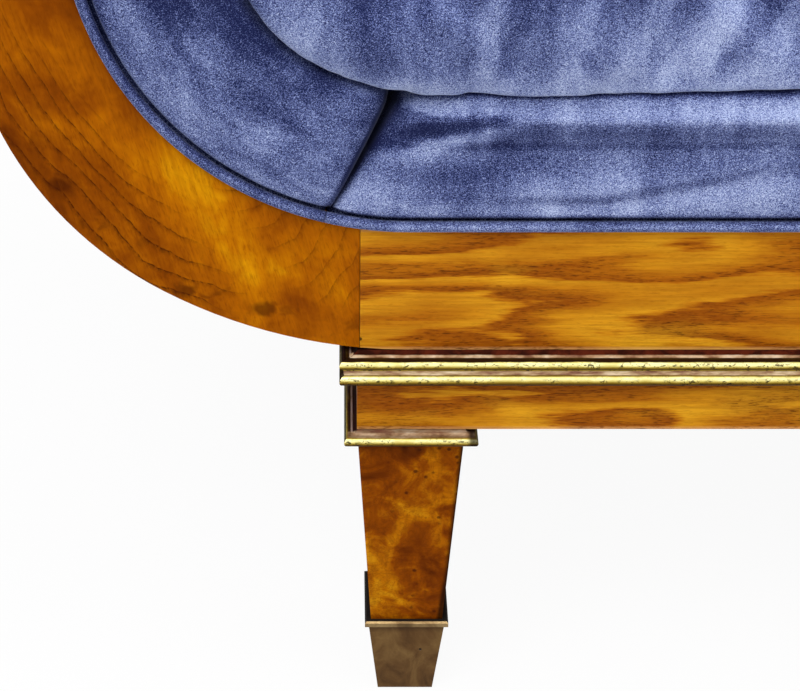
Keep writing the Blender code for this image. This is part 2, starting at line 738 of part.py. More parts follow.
def border_face(depth, shape):
    """Front face of a stuffed border, from the welt's notch over the swell to the rounded edge.

    Each point is a distance from the wood's edge and a distance behind the wood's front plane.
    Shape gives the swell between them, as shares of the free width and of the full swell.
    """
    free = depth - WELT_ROOM
    swell = PAD_BULGE * free / (PAD_THICKNESS - WELT_ROOM)
    rounding = min(PAD_EDGE_ROUND, 0.35 * free)
    face = [(CLEARANCE, WELT_NOTCH + CLEARANCE), (WELT_ROOM, WELT_NOTCH), (WELT_ROOM + 0.05 * free, 0.0)]
    face += [(WELT_ROOM + run * free, -rise * swell) for run, rise in shape]
    face += [(depth - 0.50 * rounding, 0.0), (depth - 0.20 * rounding, 0.40 * rounding)]
    return face


# The arm's border is fullest near the wood. The seat's has a low swell and a roll along its top.
ARM_BORDER = ((0.15, 0.75), (0.30, 1.0), (0.60, 0.65))
SEAT_BORDER = ((0.16, 0.70), (0.32, 0.55), (0.52, 0.05), (0.70, 0.75), (0.82, 0.80))


def pad_depth(progress):
    """Thickness of the arm pad along the arm."""
    if progress <= 1:
        return PAD_THICKNESS
    if progress <= 2:
        ease = (progress - 1) ** 2 * (5 - 2 * progress)
        return PAD_THICKNESS + (ROLL_PAD - PAD_THICKNESS) * ease
    return ROLL_PAD + (ROLL_PAD_END - ROLL_PAD) * (progress - 2)


def make_arm_pad(side, name):
    wood = arm_stations(bowl_angle(SEAM_LOW_OUT), roll_end=270.0)
    velvet = arm_stations(bowl_angle(SEAM_TOP_OUT, ARM_RADIUS - PAD_THICKNESS), roll_end=270.0)
    # Both lines have the same count, so the first section lies along the slanted seam.
    bowl_count = len([place for place in wood if place.progress <= 1])
    spare = len([place for place in velvet if place.progress <= 1]) - bowl_count
    velvet = velvet[:1] + velvet[1 + max(0, spare):]
    wood = wood[:1] + wood[1 + max(0, -spare):]
    rings = []
    for near_wood, near_velvet in zip(wood, velvet):
        depth = pad_depth(near_wood.progress)
        start = near_wood.at(0.0)
        across = (near_velvet.at(depth) - start) / depth
        behind_crest = near_wood.progress <= 2
        far = rear_face((CREST_THICKNESS if behind_crest else BACK_FRAME) + CLEARANCE)
        draw_in = min(PAD_DRAW_IN, depth / 4)
        section = [(run, FRONT + y) for run, y in border_face(depth, ARM_BORDER)]
        near_y = FRONT + PAD_EDGE_ROUND
        far_y = far((start + across * depth).y)
        for share in (0.0, 0.06, 0.25, 0.5, 0.75, 0.94):
            dip = draw_in * abs(2 * share - 1) ** 3
            section.append((depth - dip, near_y + (far_y - near_y) * share))
        for run in (depth - draw_in, depth / 2, CLEARANCE):
            section.append((run, far((start + across * run).y)))
        ring = []
        for run, y in section:
            place = start + across * run
            ring.append((side * (LEG_X + place.x), y, place.y))
        rings.append(ring)
    add_part(name + "_arm_pad", loft_mesh(name + "_arm_pad", rings), "velvet")


def seam_out(height):
    """Slanted seam at the seat's ends: distance out from the leg centre at a height."""
    low = BOWL_CENTRE + ARM_RADIUS * direction(bowl_angle(SEAM_LOW_OUT))
    share = (height - low.y) / (DECK_TOP - low.y)
    return SEAM_LOW_OUT + (SEAM_TOP_OUT - SEAM_LOW_OUT) * share - SOFT_GAP


def bowl_height(out):
    """Height of the wood's edge, level along the rail and rising on the arm."""
    beyond = max(0.0, out - ARM_CENTRE_OUT)
    return BOWL_CENTRE.y - math.sqrt(ARM_RADIUS ** 2 - beyond ** 2)


def make_seat_pad():
    rear_y = rear_face(BACK_FRAME + CLEARANCE)(RAIL_TOP)
    inner_front = FRONT + BORDER_THICKNESS
    inner_rear = rear_y - BORDER_THICKNESS

    def ring(x_at, swell):
        section = []
        for run, y in border_face(PAD_THICKNESS, SEAT_BORDER):
            section.append((FRONT + (y if y > 0 else y * swell), run, 1))
        section.append((FRONT + PAD_EDGE_ROUND, PAD_THICKNESS, 1))
        section.append((inner_front, PAD_THICKNESS, 1))
        section.append((rear_y, PAD_THICKNESS, 1))
        section.append((rear_y, CLEARANCE, 1))
        section.append((inner_rear, CLEARANCE, 1))
        section.append((inner_rear, PAD_THICKNESS - DECK_THICKNESS, 0))
        section.append((inner_front, PAD_THICKNESS - DECK_THICKNESS, 0))
        section.append((inner_front, CLEARANCE, 1))
        places = []
        for y, run, lifts in section:
            x = x_at(RAIL_TOP + run)
            lift = bowl_height(abs(x) - LEG_X) - RAIL_TOP
            height = RAIL_TOP + run + lifts * lift * (1 - run / PAD_THICKNESS)
            places.append((x_at(height), y, height))
        return places

    rings = []
    for side in (-1, 1):
        end = ring(lambda height: side * (LEG_X + seam_out(height)), 0.45)
        bend = ring(lambda height: side * (LEG_X + (seam_out(height) + ARM_CENTRE_OUT) / 2), 0.75)
        full = ring(lambda height: side * (LEG_X - PAD_THICKNESS), 1.0)
        flat = ring(lambda height: side * (LEG_X + min(ARM_CENTRE_OUT, SEAM_TOP_OUT - 2 * SOFT_GAP)), 0.9)
        group = [end, bend, flat, full]
        rings += group if side < 0 else group[::-1]
    add_part("seat_pad", loft_mesh("seat_pad", rings), "velvet")


def arm_face_out(height):
    """Distance out of the arm pad's velvet at a height."""
    best = None
    line = arm_stations(0.0, roll_end=90.0)
    points = [place.at(pad_depth(place.progress)) for place in line]
    for low, high in zip(points, points[1:]):
        if low.y <= height <= high.y:
            share = (height - low.y) / max(high.y - low.y, 1e-9)
            best = low.x + (high.x - low.x) * share
            break
    return best if best is not None else points[0].x


def make_back_pad():
    columns = 28
    rows = 9
    bottom = DECK_TOP + CLEARANCE
    limit = LEG_X + arm_face_out(CREST_SHOULDER - CREST_HEIGHT)
    end_top = crest_underside(min(limit, CREST_FOOT_X)) - WELT_ROOM - SOFT_GAP

    def place(column, row):
        across = 2 * column / columns - 1
        share = row / rows
        end_height = bottom + (end_top - bottom) * share
        half = LEG_X + arm_face_out(end_height) - SOFT_GAP * 2
        x = across * half
        top = crest_underside(x) - WELT_ROOM - SOFT_GAP
        top = end_top + (top - end_top) * (1 - across ** 24)
        return x, bottom + (top - bottom) * share

    def swell(column, row):
        across = abs(2 * column / columns - 1)
        up = abs(2 * row / rows - 1)
        edge = (1 - across ** 6) * (1 - up ** 4)
        return BACK_PAD_EDGE * (0.55 if across == 1 or up == 1 else 1.0) + BACK_PAD_CROWN * edge

    behind = rear_face(BACK_FRAME + CLEARANCE)
    shape = bmesh.new()
    front = {}
    back = {}
    for column in range(columns + 1):
        for row in range(rows + 1):
            x, z = place(column, row)
            front[column, row] = shape.verts.new((x, behind(z) - swell(column, row), z))
            rim = column in (0, columns) or row in (0, rows)
            if rim:
                back[column, row] = shape.verts.new((x, behind(z), z))
    for column in range(columns):
        for row in range(rows):
            cell = ((column, row), (column + 1, row), (column + 1, row + 1), (column, row + 1))
            shape.faces.new([front[key] for key in cell])
    rim = [(column, 0) for column in range(columns)]
    rim += [(columns, row) for row in range(rows)]
    rim += [(column, rows) for column in range(columns, 0, -1)]
    rim += [(0, row) for row in range(rows, 0, -1)]
    for key, following in zip(rim, rim[1:] + rim[:1]):
        shape.faces.new((front[key], back[key], back[following], front[following]))
    shape.faces.new([back[key] for key in rim])
    bmesh.ops.triangulate(shape, faces=[face for face in shape.faces if len(face.verts) > 4])
    add_part("back_pad", mesh_from("back_pad", shape, True), "velvet")


def make_welts():
    reach = WELT_RADIUS + CLEARANCE
    y = FRONT - WELT_OUT
    first = bowl_angle(SEAM_LOW_OUT)
    for side, name in ((-1, "left"), (1, "right")):
        line = [place.at(reach) for place in arm_stations(first, roll_end=250.0)]
        points = [(x, y, z) for x, z in placed(side, line)]
        tube(name + "_arm_welt", points, WELT_RADIUS, "velvet")
    last = first - math.degrees(2 * WELT_RADIUS / ARM_RADIUS)
    bend = [BOWL_CENTRE + (ARM_RADIUS - reach) * direction(angle) for angle in spread(0.0, last)]
    right = [(x, y, z) for x, z in placed(1, bend)]
    left = [(-x, y, z) for x, y, z in right[::-1]]
    tube("seat_welt", left + right, WELT_RADIUS, "velvet")
    half = LEG_X + arm_face_out(CREST_SHOULDER - CREST_HEIGHT) - 4 * WELT_RADIUS
    front = rear_face(CREST_THICKNESS - WELT_RADIUS)
    points = []
    for index in range(CREST_STEPS + 1):
        x = -half + 2 * half * index / CREST_STEPS
        z = crest_underside(x) - reach
        points.append((x, front(z), z))
    tube("back_welt", points, WELT_RADIUS, "velvet")


# Loose seat cushion

def cushion_outline():
    """Right half of the cushion seen from the front, from the middle of its base round to its top."""
    base = DECK_TOP + CLEARANCE
    top = base + CUSHION_THICKNESS
    radius = ARM_RADIUS - PAD_THICKNESS - CUSHION_GAP
    shoulder = top - CUSHION_EDGE
    sweep = math.degrees(math.acos(max(0.0, min(1.0, (BOWL_CENTRE.y - shoulder) / radius))))
    points = [(LEG_X * share, base) for share in (0.0, 0.35, 0.7)]
    for angle in spread(0.0, sweep, 12.0):
        out, height = BOWL_CENTRE + radius * direction(angle)
        points.append((LEG_X + out, max(base, height)))
    side_x = points[-1][0]
    for angle in (30.0, 60.0, 90.0):
        turn = math.radians(angle)
        points.append(
            (side_x - CUSHION_EDGE * (1 - math.cos(turn)), shoulder + CUSHION_EDGE * math.sin(turn))
        )
    inner = side_x - CUSHION_EDGE
    for share in (0.88, 0.7, 0.4, 0.0):
        points.append((inner * share, top + CUSHION_CROWN * (1 - share ** 4)))
    return points


def make_cushion():
    half = cushion_outline()
    outline = half + [(-x, z) for x, z in half[-2:0:-1]]
    middle = DECK_TOP + CLEARANCE + CUSHION_THICKNESS / 2
    half_height = CUSHION_THICKNESS / 2
    half_width = max(x for x, _ in half)
    near = FRONT - CUSHION_OVERHANG
    far = near + CUSHION_DEPTH
    edge = CUSHION_EDGE
    # Distance from the front or back end, and how far the outline is drawn in there.
    ends = ((0.0, 0.60 * edge), (0.06 * edge, 0.36 * edge), (0.20 * edge, 0.16 * edge))
    ends += ((0.50 * edge, 0.04 * edge), (1.20 * edge, 0.0))
    steps = [(near + run, inset) for run, inset in ends]
    steps += [(near + CUSHION_DEPTH * share, 0.0) for share in (0.35, 0.65)]
    steps += [(far - run, inset) for run, inset in ends[::-1]]
    rings = []
    for y, inset in steps:
        # The crown fades to nothing at the front and back edges.
        crown = 1 - abs(2 * (y - near) / CUSHION_DEPTH - 1) ** 3
        ring = []
        for x, z in outline:
            over = max(0.0, z - middle - half_height)
            height = middle + (z - over - middle) * (1 - inset / half_height) + over * crown
            ring.append((x * (1 - inset / half_width), y, height))
        rings.append(ring)
    add_part("seat_cushion", loft_mesh("seat_cushion", rings), "velvet")


# Suspension and underside

def coil_mesh(name, x, y, bottom, top):
    count = int(SPRING_TURNS * COIL_POINTS)
    curve = bpy.data.curves.new(name, "CURVE")
    curve.dimensions = "3D"
    curve.bevel_depth = SPRING_WIRE
    curve.bevel_resolution = 0
    curve.use_fill_caps = True
    spline = curve.splines.new("POLY")
    spline.points.add(count)
    for index, point in enumerate(spline.points):
        turn = 2 * math.pi * index / COIL_POINTS
        height = bottom + (top - bottom) * index / count
        point.co = (x + SPRING_RADIUS * math.cos(turn), y + SPRING_RADIUS * math.sin(turn), height, 1.0)
    return mesh_from(name, mesh_of_curve(curve), True)


def make_suspension():
    """Webbing tacked under the rails, with the coil springs sewn to its crossings."""
    top = RAIL_BOTTOM - CLEARANCE
    bottom = top - STRAP_THICKNESS
    half_x = LEG_X + APRON_OUT - MOULDING_SEAT - 2 * CLEARANCE
    near = FRONT + MOULDING_SEAT + 2 * CLEARANCE
    far = REAR - MOULDING_SEAT - 2 * CLEARANCE
    middle = (near + far) / 2
    rows = [middle + (index - (SPRING_ROWS - 1) / 2) * SPRING_PITCH_Y for index in range(SPRING_ROWS)]
    columns = [(index - (SPRING_COLUMNS - 1) / 2) * SPRING_PITCH_X for index in range(SPRING_COLUMNS)]
    half = STRAP_WIDTH / 2
    straps = []
    for y in rows:
        straps.append(((-half_x, y - half, bottom), (half_x, y + half, top)))
    for x in columns:
        straps.append(((x - half, near, bottom - 0.0002), (x + half, far, top - 0.0002)))
    name = "seat_springs_and_webbing"
    part = add_part(name, box_mesh(name, *straps[0]), "jute_and_steel")
    for index, strap in enumerate(straps[1:]):
        helper = add_helper("strap_" + str(index), box_mesh("strap_" + str(index), *strap))
        combine(part, helper, "UNION")
    low = top + SPRING_WIRE * 0.4
    high = DECK_UNDERSIDE - SPRING_WIRE - CLEARANCE
    for column, x in enumerate(columns):
        for row, y in enumerate(rows):
            label = "coil_" + str(column) + "_" + str(row)
            combine(part, add_helper(label, coil_mesh(label, x, y, low, high)), "UNION")


def make_dust_cover():
    edge_x = LEG_X + APRON_OUT - APRON_THICKNESS - CLEARANCE
    near = FRONT + APRON_THICKNESS + CLEARANCE
    far = REAR - APRON_THICKNESS - CLEARANCE
    notch = CORNER_BLOCK + CLEARANCE
    outline = [
        (-edge_x + notch, near),
        (edge_x - notch, near),
        (edge_x - notch, near + notch),
        (edge_x, near + notch),
        (edge_x, far - notch),
        (edge_x - notch, far - notch),
        (edge_x - notch, far),
        (-edge_x + notch, far),
        (-edge_x + notch, far - notch),
        (-edge_x, far - notch),
        (-edge_x, near + notch),
        (-edge_x + notch, near + notch),
    ]
    sheet("dust_cover", outline, APRON_BOTTOM, APRON_BOTTOM + DUST_COVER, "black_cloth")


make_supports()
make_aprons()
make_mouldings()
make_rear_strip()
make_seat_rails()
for arm_side, arm_name in ((-1, "left"), (1, "right")):
    make_arm_frame(arm_side, arm_name)
    make_arm_pad(arm_side, arm_name)
make_crest()
make_uprights()
make_outside_back()
make_seat_pad()
make_back_pad()
make_welts()
make_cushion()
make_suspension()
make_dust_cover()
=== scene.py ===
"""Looks of the sofa: wood, gilding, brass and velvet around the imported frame, in metres, +Z up."""

import math

import bmesh
import bpy
import numpy as np
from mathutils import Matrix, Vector, noise


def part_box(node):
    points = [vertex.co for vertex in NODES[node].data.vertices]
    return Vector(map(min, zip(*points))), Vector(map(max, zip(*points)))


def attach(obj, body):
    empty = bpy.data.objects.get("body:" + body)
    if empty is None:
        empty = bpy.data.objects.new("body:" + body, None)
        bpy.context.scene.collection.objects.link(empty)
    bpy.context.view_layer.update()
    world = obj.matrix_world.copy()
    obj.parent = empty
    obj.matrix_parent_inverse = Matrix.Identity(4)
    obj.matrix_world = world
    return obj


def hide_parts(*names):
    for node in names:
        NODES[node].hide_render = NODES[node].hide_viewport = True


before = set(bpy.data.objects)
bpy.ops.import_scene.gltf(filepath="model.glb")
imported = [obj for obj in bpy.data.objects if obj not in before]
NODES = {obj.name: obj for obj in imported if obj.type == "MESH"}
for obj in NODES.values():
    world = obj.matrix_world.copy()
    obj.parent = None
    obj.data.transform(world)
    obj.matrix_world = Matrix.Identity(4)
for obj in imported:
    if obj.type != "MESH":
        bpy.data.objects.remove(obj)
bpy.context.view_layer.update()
LEFT_RIGHT = ((-1, "left"), (1, "right"))

# Sizes repeated from the part's source
LEG_X = 0.660                  # leg centres from the middle
FRONT = -0.379101              # front plane of the rail, the apron and the arm fronts
REAR = 0.275899                # rear plane at the foot of the rail
APRON_OUT = 0.0312             # faces of the side aprons out from the leg centres
APRON_BOTTOM = 0.2090
RAIL_BOTTOM = 0.2630
RAIL_TOP = 0.3400
DECK_TOP = 0.4200              # top of the seat under the cushion
CREST_TOP = 0.905
CREST_HEIGHT = 0.070
RAKE = math.radians(10.0)      # lean of the back
FRONT_BOARD = 0.0384           # arm front and rear boards, each with its gap
REAR_BOARD = 0.0354
GAP = 0.0004                   # room left between neighbours
PAD = 0.080                    # height of the stuffed borders
WELT_RADIUS = 0.0031
WELT_ROOM = 0.0074             # borders start this far from the wood
BOWL_CENTRE = (0.004, 0.515)   # out from the leg centre, and up
BOWL_RADIUS = 0.175
SEAM_LOW_OUT = 0.0495          # seam between seat and arm, at the wood and at the top of the pad
SEAM_TOP_OUT = 0.0095
SEAM_LOW_Z = BOWL_CENTRE[1] - math.sqrt(BOWL_RADIUS ** 2 - (SEAM_LOW_OUT - BOWL_CENTRE[0]) ** 2)
SEAM_OUT = 0.030               # seam between rail and arm front

# Places of small marks
NAIL_X = 0.6896
NAIL_Z = 0.2700
PIN_X = 0.651
PIN_Z = 0.0348


# Colours and shader nodes

def srgb(red, green, blue):
    """Linear colour of an 8-bit sRGB triple."""
    line = []
    for value in (red, green, blue):
        share = value / 255
        line.append(share / 12.92 if share <= 0.04045 else ((share + 0.055) / 1.055) ** 2.4)
    return (*line, 1.0)


def feed(tree, socket, value):
    """Links a socket to another one, or sets it to a plain value."""
    if isinstance(value, bpy.types.NodeSocket):
        tree.links.new(value, socket)
    elif value is not None:
        socket.default_value = value


def new_node(tree, kind, inputs=(), **settings):
    item = tree.nodes.new(kind)
    for key, value in settings.items():
        setattr(item, key, value)
    for key, value in dict(inputs).items():
        feed(tree, item.inputs[key], value)
    return item


class Value:
    """A number, colour or place that varies over a surface; its arithmetic adds nodes to the material."""

    def __init__(self, surface, socket):
        self.surface = surface
        self.socket = socket

    def apply(self, operation, *others):
        return self.surface.calculate(operation, self, *others)

    def __add__(self, other):
        return self.apply("ADD", other)

    def __sub__(self, other):
        return self.apply("SUBTRACT", other)

    def __rsub__(self, other):
        return self.surface.calculate("SUBTRACT", other, self)

    def __mul__(self, other):
        return self.apply("MULTIPLY", other)

    def __truediv__(self, other):
        return self.apply("DIVIDE", other)

    def __pow__(self, other):
        return self.apply("POWER", other)

    def __abs__(self):
        return self.apply("ABSOLUTE")

    __radd__ = __add__
    __rmul__ = __mul__

    def at_least(self, other):
        return self.apply("MAXIMUM", other)

    def ease(self, low, high, first=0.0, last=1.0):
        """First up to low, last from high on, and a smooth passage between them."""
        inputs = {"Value": self, "From Min": low, "From Max": high, "To Min": first, "To Max": last}
        return self.surface.made("ShaderNodeMapRange", "Result", inputs, interpolation_type="SMOOTHSTEP")

    def fade(self, low, high, first=1.0):
        return self.ease(low, high, first, 0.0)

    def past(self, edge, half=0.0003):
        """One beyond an edge and zero before it, with a narrow passage."""
        return self.ease(edge - half, edge + half)

    def split(self):
        item = self.surface.node("ShaderNodeSeparateXYZ", {0: self})
        return tuple(Value(self.surface, socket) for socket in item.outputs)

    def stretch(self, scale, offset=(0.0, 0.0, 0.0)):
        return self.surface.made("ShaderNodeMapping", 0, {"Vector": self, "Scale": scale, "Location": offset})

    def noise(self, scale, detail=3.0, roughness=0.5, distortion=0.0):
        settings = {"Scale": scale, "Detail": detail, "Roughness": roughness, "Distortion": distortion}
        return self.surface.made("ShaderNodeTexNoise", "Fac", {"Vector": self, **settings})

    def ramp(self, stops):
        """Colours along the value; a stop is a place with an sRGB triple or a linear grey."""
        item = self.surface.node("ShaderNodeValToRGB", {0: self})
        band = item.color_ramp
        while len(band.elements) < len(stops):
            band.elements.new(1.0)
        for element, (place, colour) in zip(band.elements, stops):
            element.position = place
            element.color = srgb(*colour) if isinstance(colour, tuple) else (colour, colour, colour, 1.0)
        return Value(self.surface, item.outputs[0])


class Surface:
    """A node material with one Principled shader, and short calls to add nodes to it."""

    def __init__(self, name, **settings):
        self.material = bpy.data.materials.new(name)
        self.material.use_nodes = True
        self.tree = self.material.node_tree
        self.shader = self.tree.nodes["Principled BSDF"]
        for key, value in settings.items():
            self.shader.inputs[key.replace("_", " ")].default_value = value
        self.place = self.made("ShaderNodeTexCoord", "Object")

    def node(self, kind, inputs=(), **settings):
        sockets = {key: getattr(value, "socket", value) for key, value in dict(inputs).items()}
        return new_node(self.tree, kind, sockets, **settings)

    def made(self, kind, output, inputs=(), **settings):
        return Value(self, self.node(kind, inputs, **settings).outputs[output])

    def calculate(self, operation, *values):
        return self.made("ShaderNodeMath", 0, dict(enumerate(values)), operation=operation)

    def normal(self, kind="Normal"):
        return self.made("ShaderNodeNewGeometry", kind).split()

    def join(self, x, y, z):
        return self.made("ShaderNodeCombineXYZ", 0, {0: x, 1: y, 2: z})

    def grained(self, grain, fineness, detail=2.0, roughness=0.55, distortion=0.0):
        """Noise drawn out along the grain; fineness is per metre along, across and into the wood."""
        drawn_out = self.join(*(place * share for place, share in zip(grain, fineness)))
        return drawn_out.noise(1.0, detail, roughness, distortion)

    def mix(self, share, first, second):
        """Blend of two colours; a tuple is an sRGB triple."""
        first, second = (srgb(*colour) if isinstance(colour, tuple) else colour for colour in (first, second))
        return self.made("ShaderNodeMix", 2, {0: share, 6: first, 7: second}, data_type="RGBA")

    def bump(self, height, strength, distance, normal=None):
        inputs = {"Height": height, "Strength": strength, "Distance": distance, "Normal": normal}
        return self.made("ShaderNodeBump", 0, inputs)

    def finish(self, colour, roughness=None, normal=None, metallic=None):
        sockets = {"Base Color": colour, "Roughness": roughness, "Metallic": metallic, "Normal": normal}
        for key, value in sockets.items():
            feed(self.tree, self.shader.inputs[key], getattr(value, "socket", value))
        return self.material


# Places on the wood and the borders

def along_x(s):
    x, y, z = s.place.split()
    return x, z, y


def along_y(s):
    x, y, z = s.place.split()
    return y, z, x


def distance(first, second):
    return (first ** 2 + second ** 2).apply("SQRT")


def turned(out, rise, angle):
    """Places along and across a line that leans out by an angle."""
    sine, cosine = math.sin(angle), math.cos(angle)
    return rise * cosine + out * sine, out * cosine - rise * sine


def up_the_arm(s):
    """Grain of the arm boards, which leans out a little."""
    x, y, z = s.place.split()
    run, across = turned(abs(x) - (LEG_X + 0.079), z - 0.295, math.radians(14.0))
    return run, across, y


def round_the_bowl(s):
    """Distance from the wood's inner edge, angle round the bowl, and depth behind the front."""
    x, y, z = s.place.split()
    out = (abs(x) - (LEG_X + BOWL_CENTRE[0])).at_least(0.0)
    drop = BOWL_CENTRE[1] - z
    return BOWL_RADIUS - distance(out, drop), out.apply("ARCTAN2", drop), y - FRONT


def seam_distance(s):
    """Distance from the slanting seam between the seat and an arm."""
    x, y, z = s.place.split()
    slant = math.atan2(SEAM_LOW_OUT - SEAM_TOP_OUT, DECK_TOP - SEAM_LOW_Z)
    return abs(turned(abs(x) - (LEG_X + SEAM_LOW_OUT), z - SEAM_LOW_Z, -slant)[1])


# Wood

def finish_wood(s, grain, colour, porous, dashed):
    """Adds fibres, open pores and short dark dashes, and the polish over them."""
    fibre = s.grained(grain, (26.0, 620.0, 300.0), 4.0, 0.6)
    pores = s.grained(grain, (130.0, 1300.0, 900.0), 2.0, 0.6).ease(0.55, 0.66) * porous
    dashes = s.grained(grain, (210.0, 1100.0, 700.0), 2.0, 0.6).ease(0.50, 0.72) * dashed
    colour = s.mix(fibre.ease(0.35, 0.70, 0.0, 0.30), colour, (104, 46, 1))
    colour = s.mix(dashes, colour, (92, 38, 0))
    colour = s.mix(0.70 * pores, colour, (62, 24, 1))
    relief = s.bump(0.25 * fibre - pores, 0.15, 0.0004)
    return s.finish(colour, fibre.ease(0.3, 0.7, 0.30, 0.42), relief)


def ash_flames(name, lines, seed, rubbed_and_highlit_edges=()):
    """Polished ash with long flames: golden tongues with brown feathered ends.

    The edges given are heights of arrises that are lightened, partly as rubbed wear and partly as a painted
    highlight.
    """
    s = Surface(name, IOR=1.5, Specular_IOR_Level=0.04, Coat_Weight=0.01, Coat_Roughness=0.08)
    run, across, depth = lines(s)
    grain = (run + seed, across, depth)
    flow = s.grained(grain, (4.2, 26.0, 3.0), 2.0, 0.45, 0.25)
    ripple = s.grained(grain, (30.0, 260.0, 60.0), 4.0, 0.65)
    feather = s.grained(grain, (70.0, 900.0, 300.0), 2.0, 0.6)
    place = 17.0 * across + 5.6 * flow + 0.50 * (ripple - 0.5) + 0.30 * (feather - 0.5)
    ring = place.apply("FRACT")
    # Each year starts brown and porous and fades to golden late wood.
    colour = ring.ramp((
        (0.0, (150, 84, 6)), (0.07, (126, 62, 2)), (0.18, (138, 73, 3)), (0.36, (162, 96, 8)),
        (0.58, (192, 129, 17)), (0.86, (204, 145, 24)), (0.96, (178, 112, 12)), (1.0, (150, 84, 6)),
    ))
    cloud = s.grained(grain, (9.0, 24.0, 9.0), 3.0, 0.55, 0.4)
    colour = s.mix(cloud.fade(0.36, 0.62, 0.50), colour, (152, 83, 4))
    colour = s.mix(cloud.ease(0.52, 0.72, 0.0, 0.40), colour, (210, 156, 30))
    brown = ring.ease(0.0, 0.05) * ring.ease(0.22, 0.50, 1.0, 0.12)
    nested = (5.0 * place).apply("FRACT").fade(0.10, 0.45) * brown * ripple.ease(0.40, 0.60)
    colour = s.mix(0.42 * nested, colour, (88, 36, 0))
    x, y, z = s.place.split()
    # Arrises lightened by rubbed wear and by a painted highlight.
    for edge in rubbed_and_highlit_edges:
        colour = s.mix(abs(z - edge).fade(0.0005, 0.0026, 0.50), colour, (214, 164, 104))
    from_nail = distance(abs(x) - NAIL_X, z - NAIL_Z)
    colour = s.mix(from_nail.fade(0.0007, 0.0016, 0.9), colour, (24, 8, 2))
    return finish_wood(s, grain, colour, brown, 0.16 + 0.50 * brown)


# Dark stains on the arm boards: place out from the leg centre, height and size
ARM_STAINS = ((0.1270, 0.3011, 0.016), (0.0839, 0.2896, 0.018), (0.1885, 0.3667, 0.022))


def ash_arch(name):
    """Polished ash on the arm boards: arches that open upwards, with broken pore lines."""
    s = Surface(name, IOR=1.5, Specular_IOR_Level=0.02, Coat_Weight=0.0)
    x, y, z = s.place.split()
    grain = up_the_arm(s)
    run, across, depth = grain
    wander = s.grained(grain, (9.0, 15.0, 4.0), 2.0, 0.5)
    ripple = s.grained(grain, (75.0, 150.0, 40.0), 3.0, 0.6)
    rings = distance(across, 0.469 * (0.235 - run)) + 0.020 * (wander - 0.5) + 0.0022 * (ripple - 0.5)
    ring = (rings / 0.0068).apply("FRACT")
    line = ring.ramp(((0.0, 0.0), (0.04, 1.0), (0.11, 0.5), (0.30, 0.10), (1.0, 0.0)))
    # The heart leans out more than the arches do.
    along, aside = turned(abs(x) - (LEG_X + 0.0832), z - 0.3066, math.radians(33.4))
    cloud = s.grained(grain, (11.0, 17.0, 5.0), 4.0, 0.6, 0.9)
    mottle = s.grained(grain, (55.0, 75.0, 30.0), 3.0, 0.6, 0.6)
    blur = aside + 0.030 * (cloud - 0.5)
    heart = abs(blur + 0.005).fade(0.005, 0.027) * along.ease(-0.022, 0.010) * along.fade(0.080, 0.115)
    shade = blur.ease(0.016, 0.032).at_least(along.ease(0.105, 0.150, 0.0, 1.15))
    tone = 0.47 + 1.15 * (cloud - 0.5) + 0.34 * heart - 0.17 * shade + 0.50 * (mottle - 0.5)
    colour = tone.ramp((
        (0.05, (80, 30, 0)), (0.28, (124, 60, 0)), (0.48, (152, 82, 0)), (0.68, (174, 103, 0)),
        (0.92, (204, 142, 4)),
    ))
    shown = s.grained(grain, (7.0, 9.0, 3.0), 1.0).ease(0.34, 0.60, 0.45, 1.0)
    shown = shown * abs(aside).ease(0.008, 0.030, 0.12, 1.0) * z.ease(0.285, 0.300)
    broken = s.grained(grain, (330.0, 500.0, 200.0), 2.0, 0.6).ease(0.40, 0.56, 0.40, 1.0)
    colour = s.mix(line * shown * broken, colour, (50, 17, 0))
    # Dark stains lie along the outer edge.
    stain = s.grained(grain, (60.0, 60.0, 20.0), 3.0, 0.6, 0.5)
    for spot_out, spot_z, size in ARM_STAINS:
        away = distance(abs(x) - (LEG_X + spot_out), 2.0 * (z - spot_z)) + (size * 2.4) * (stain - 0.5)
        colour = s.mix(away.fade(size * 0.15, size * 0.75, 0.72), colour, (54, 16, 0))
    low = round_the_bowl(s)[0].fade(-0.068, -0.045)
    colour = s.mix(stain.ease(0.55, 0.68) * (0.06 + 0.40 * low), colour, (60, 22, 0))
    return finish_wood(s, grain, colour, line * shown, 0.36)


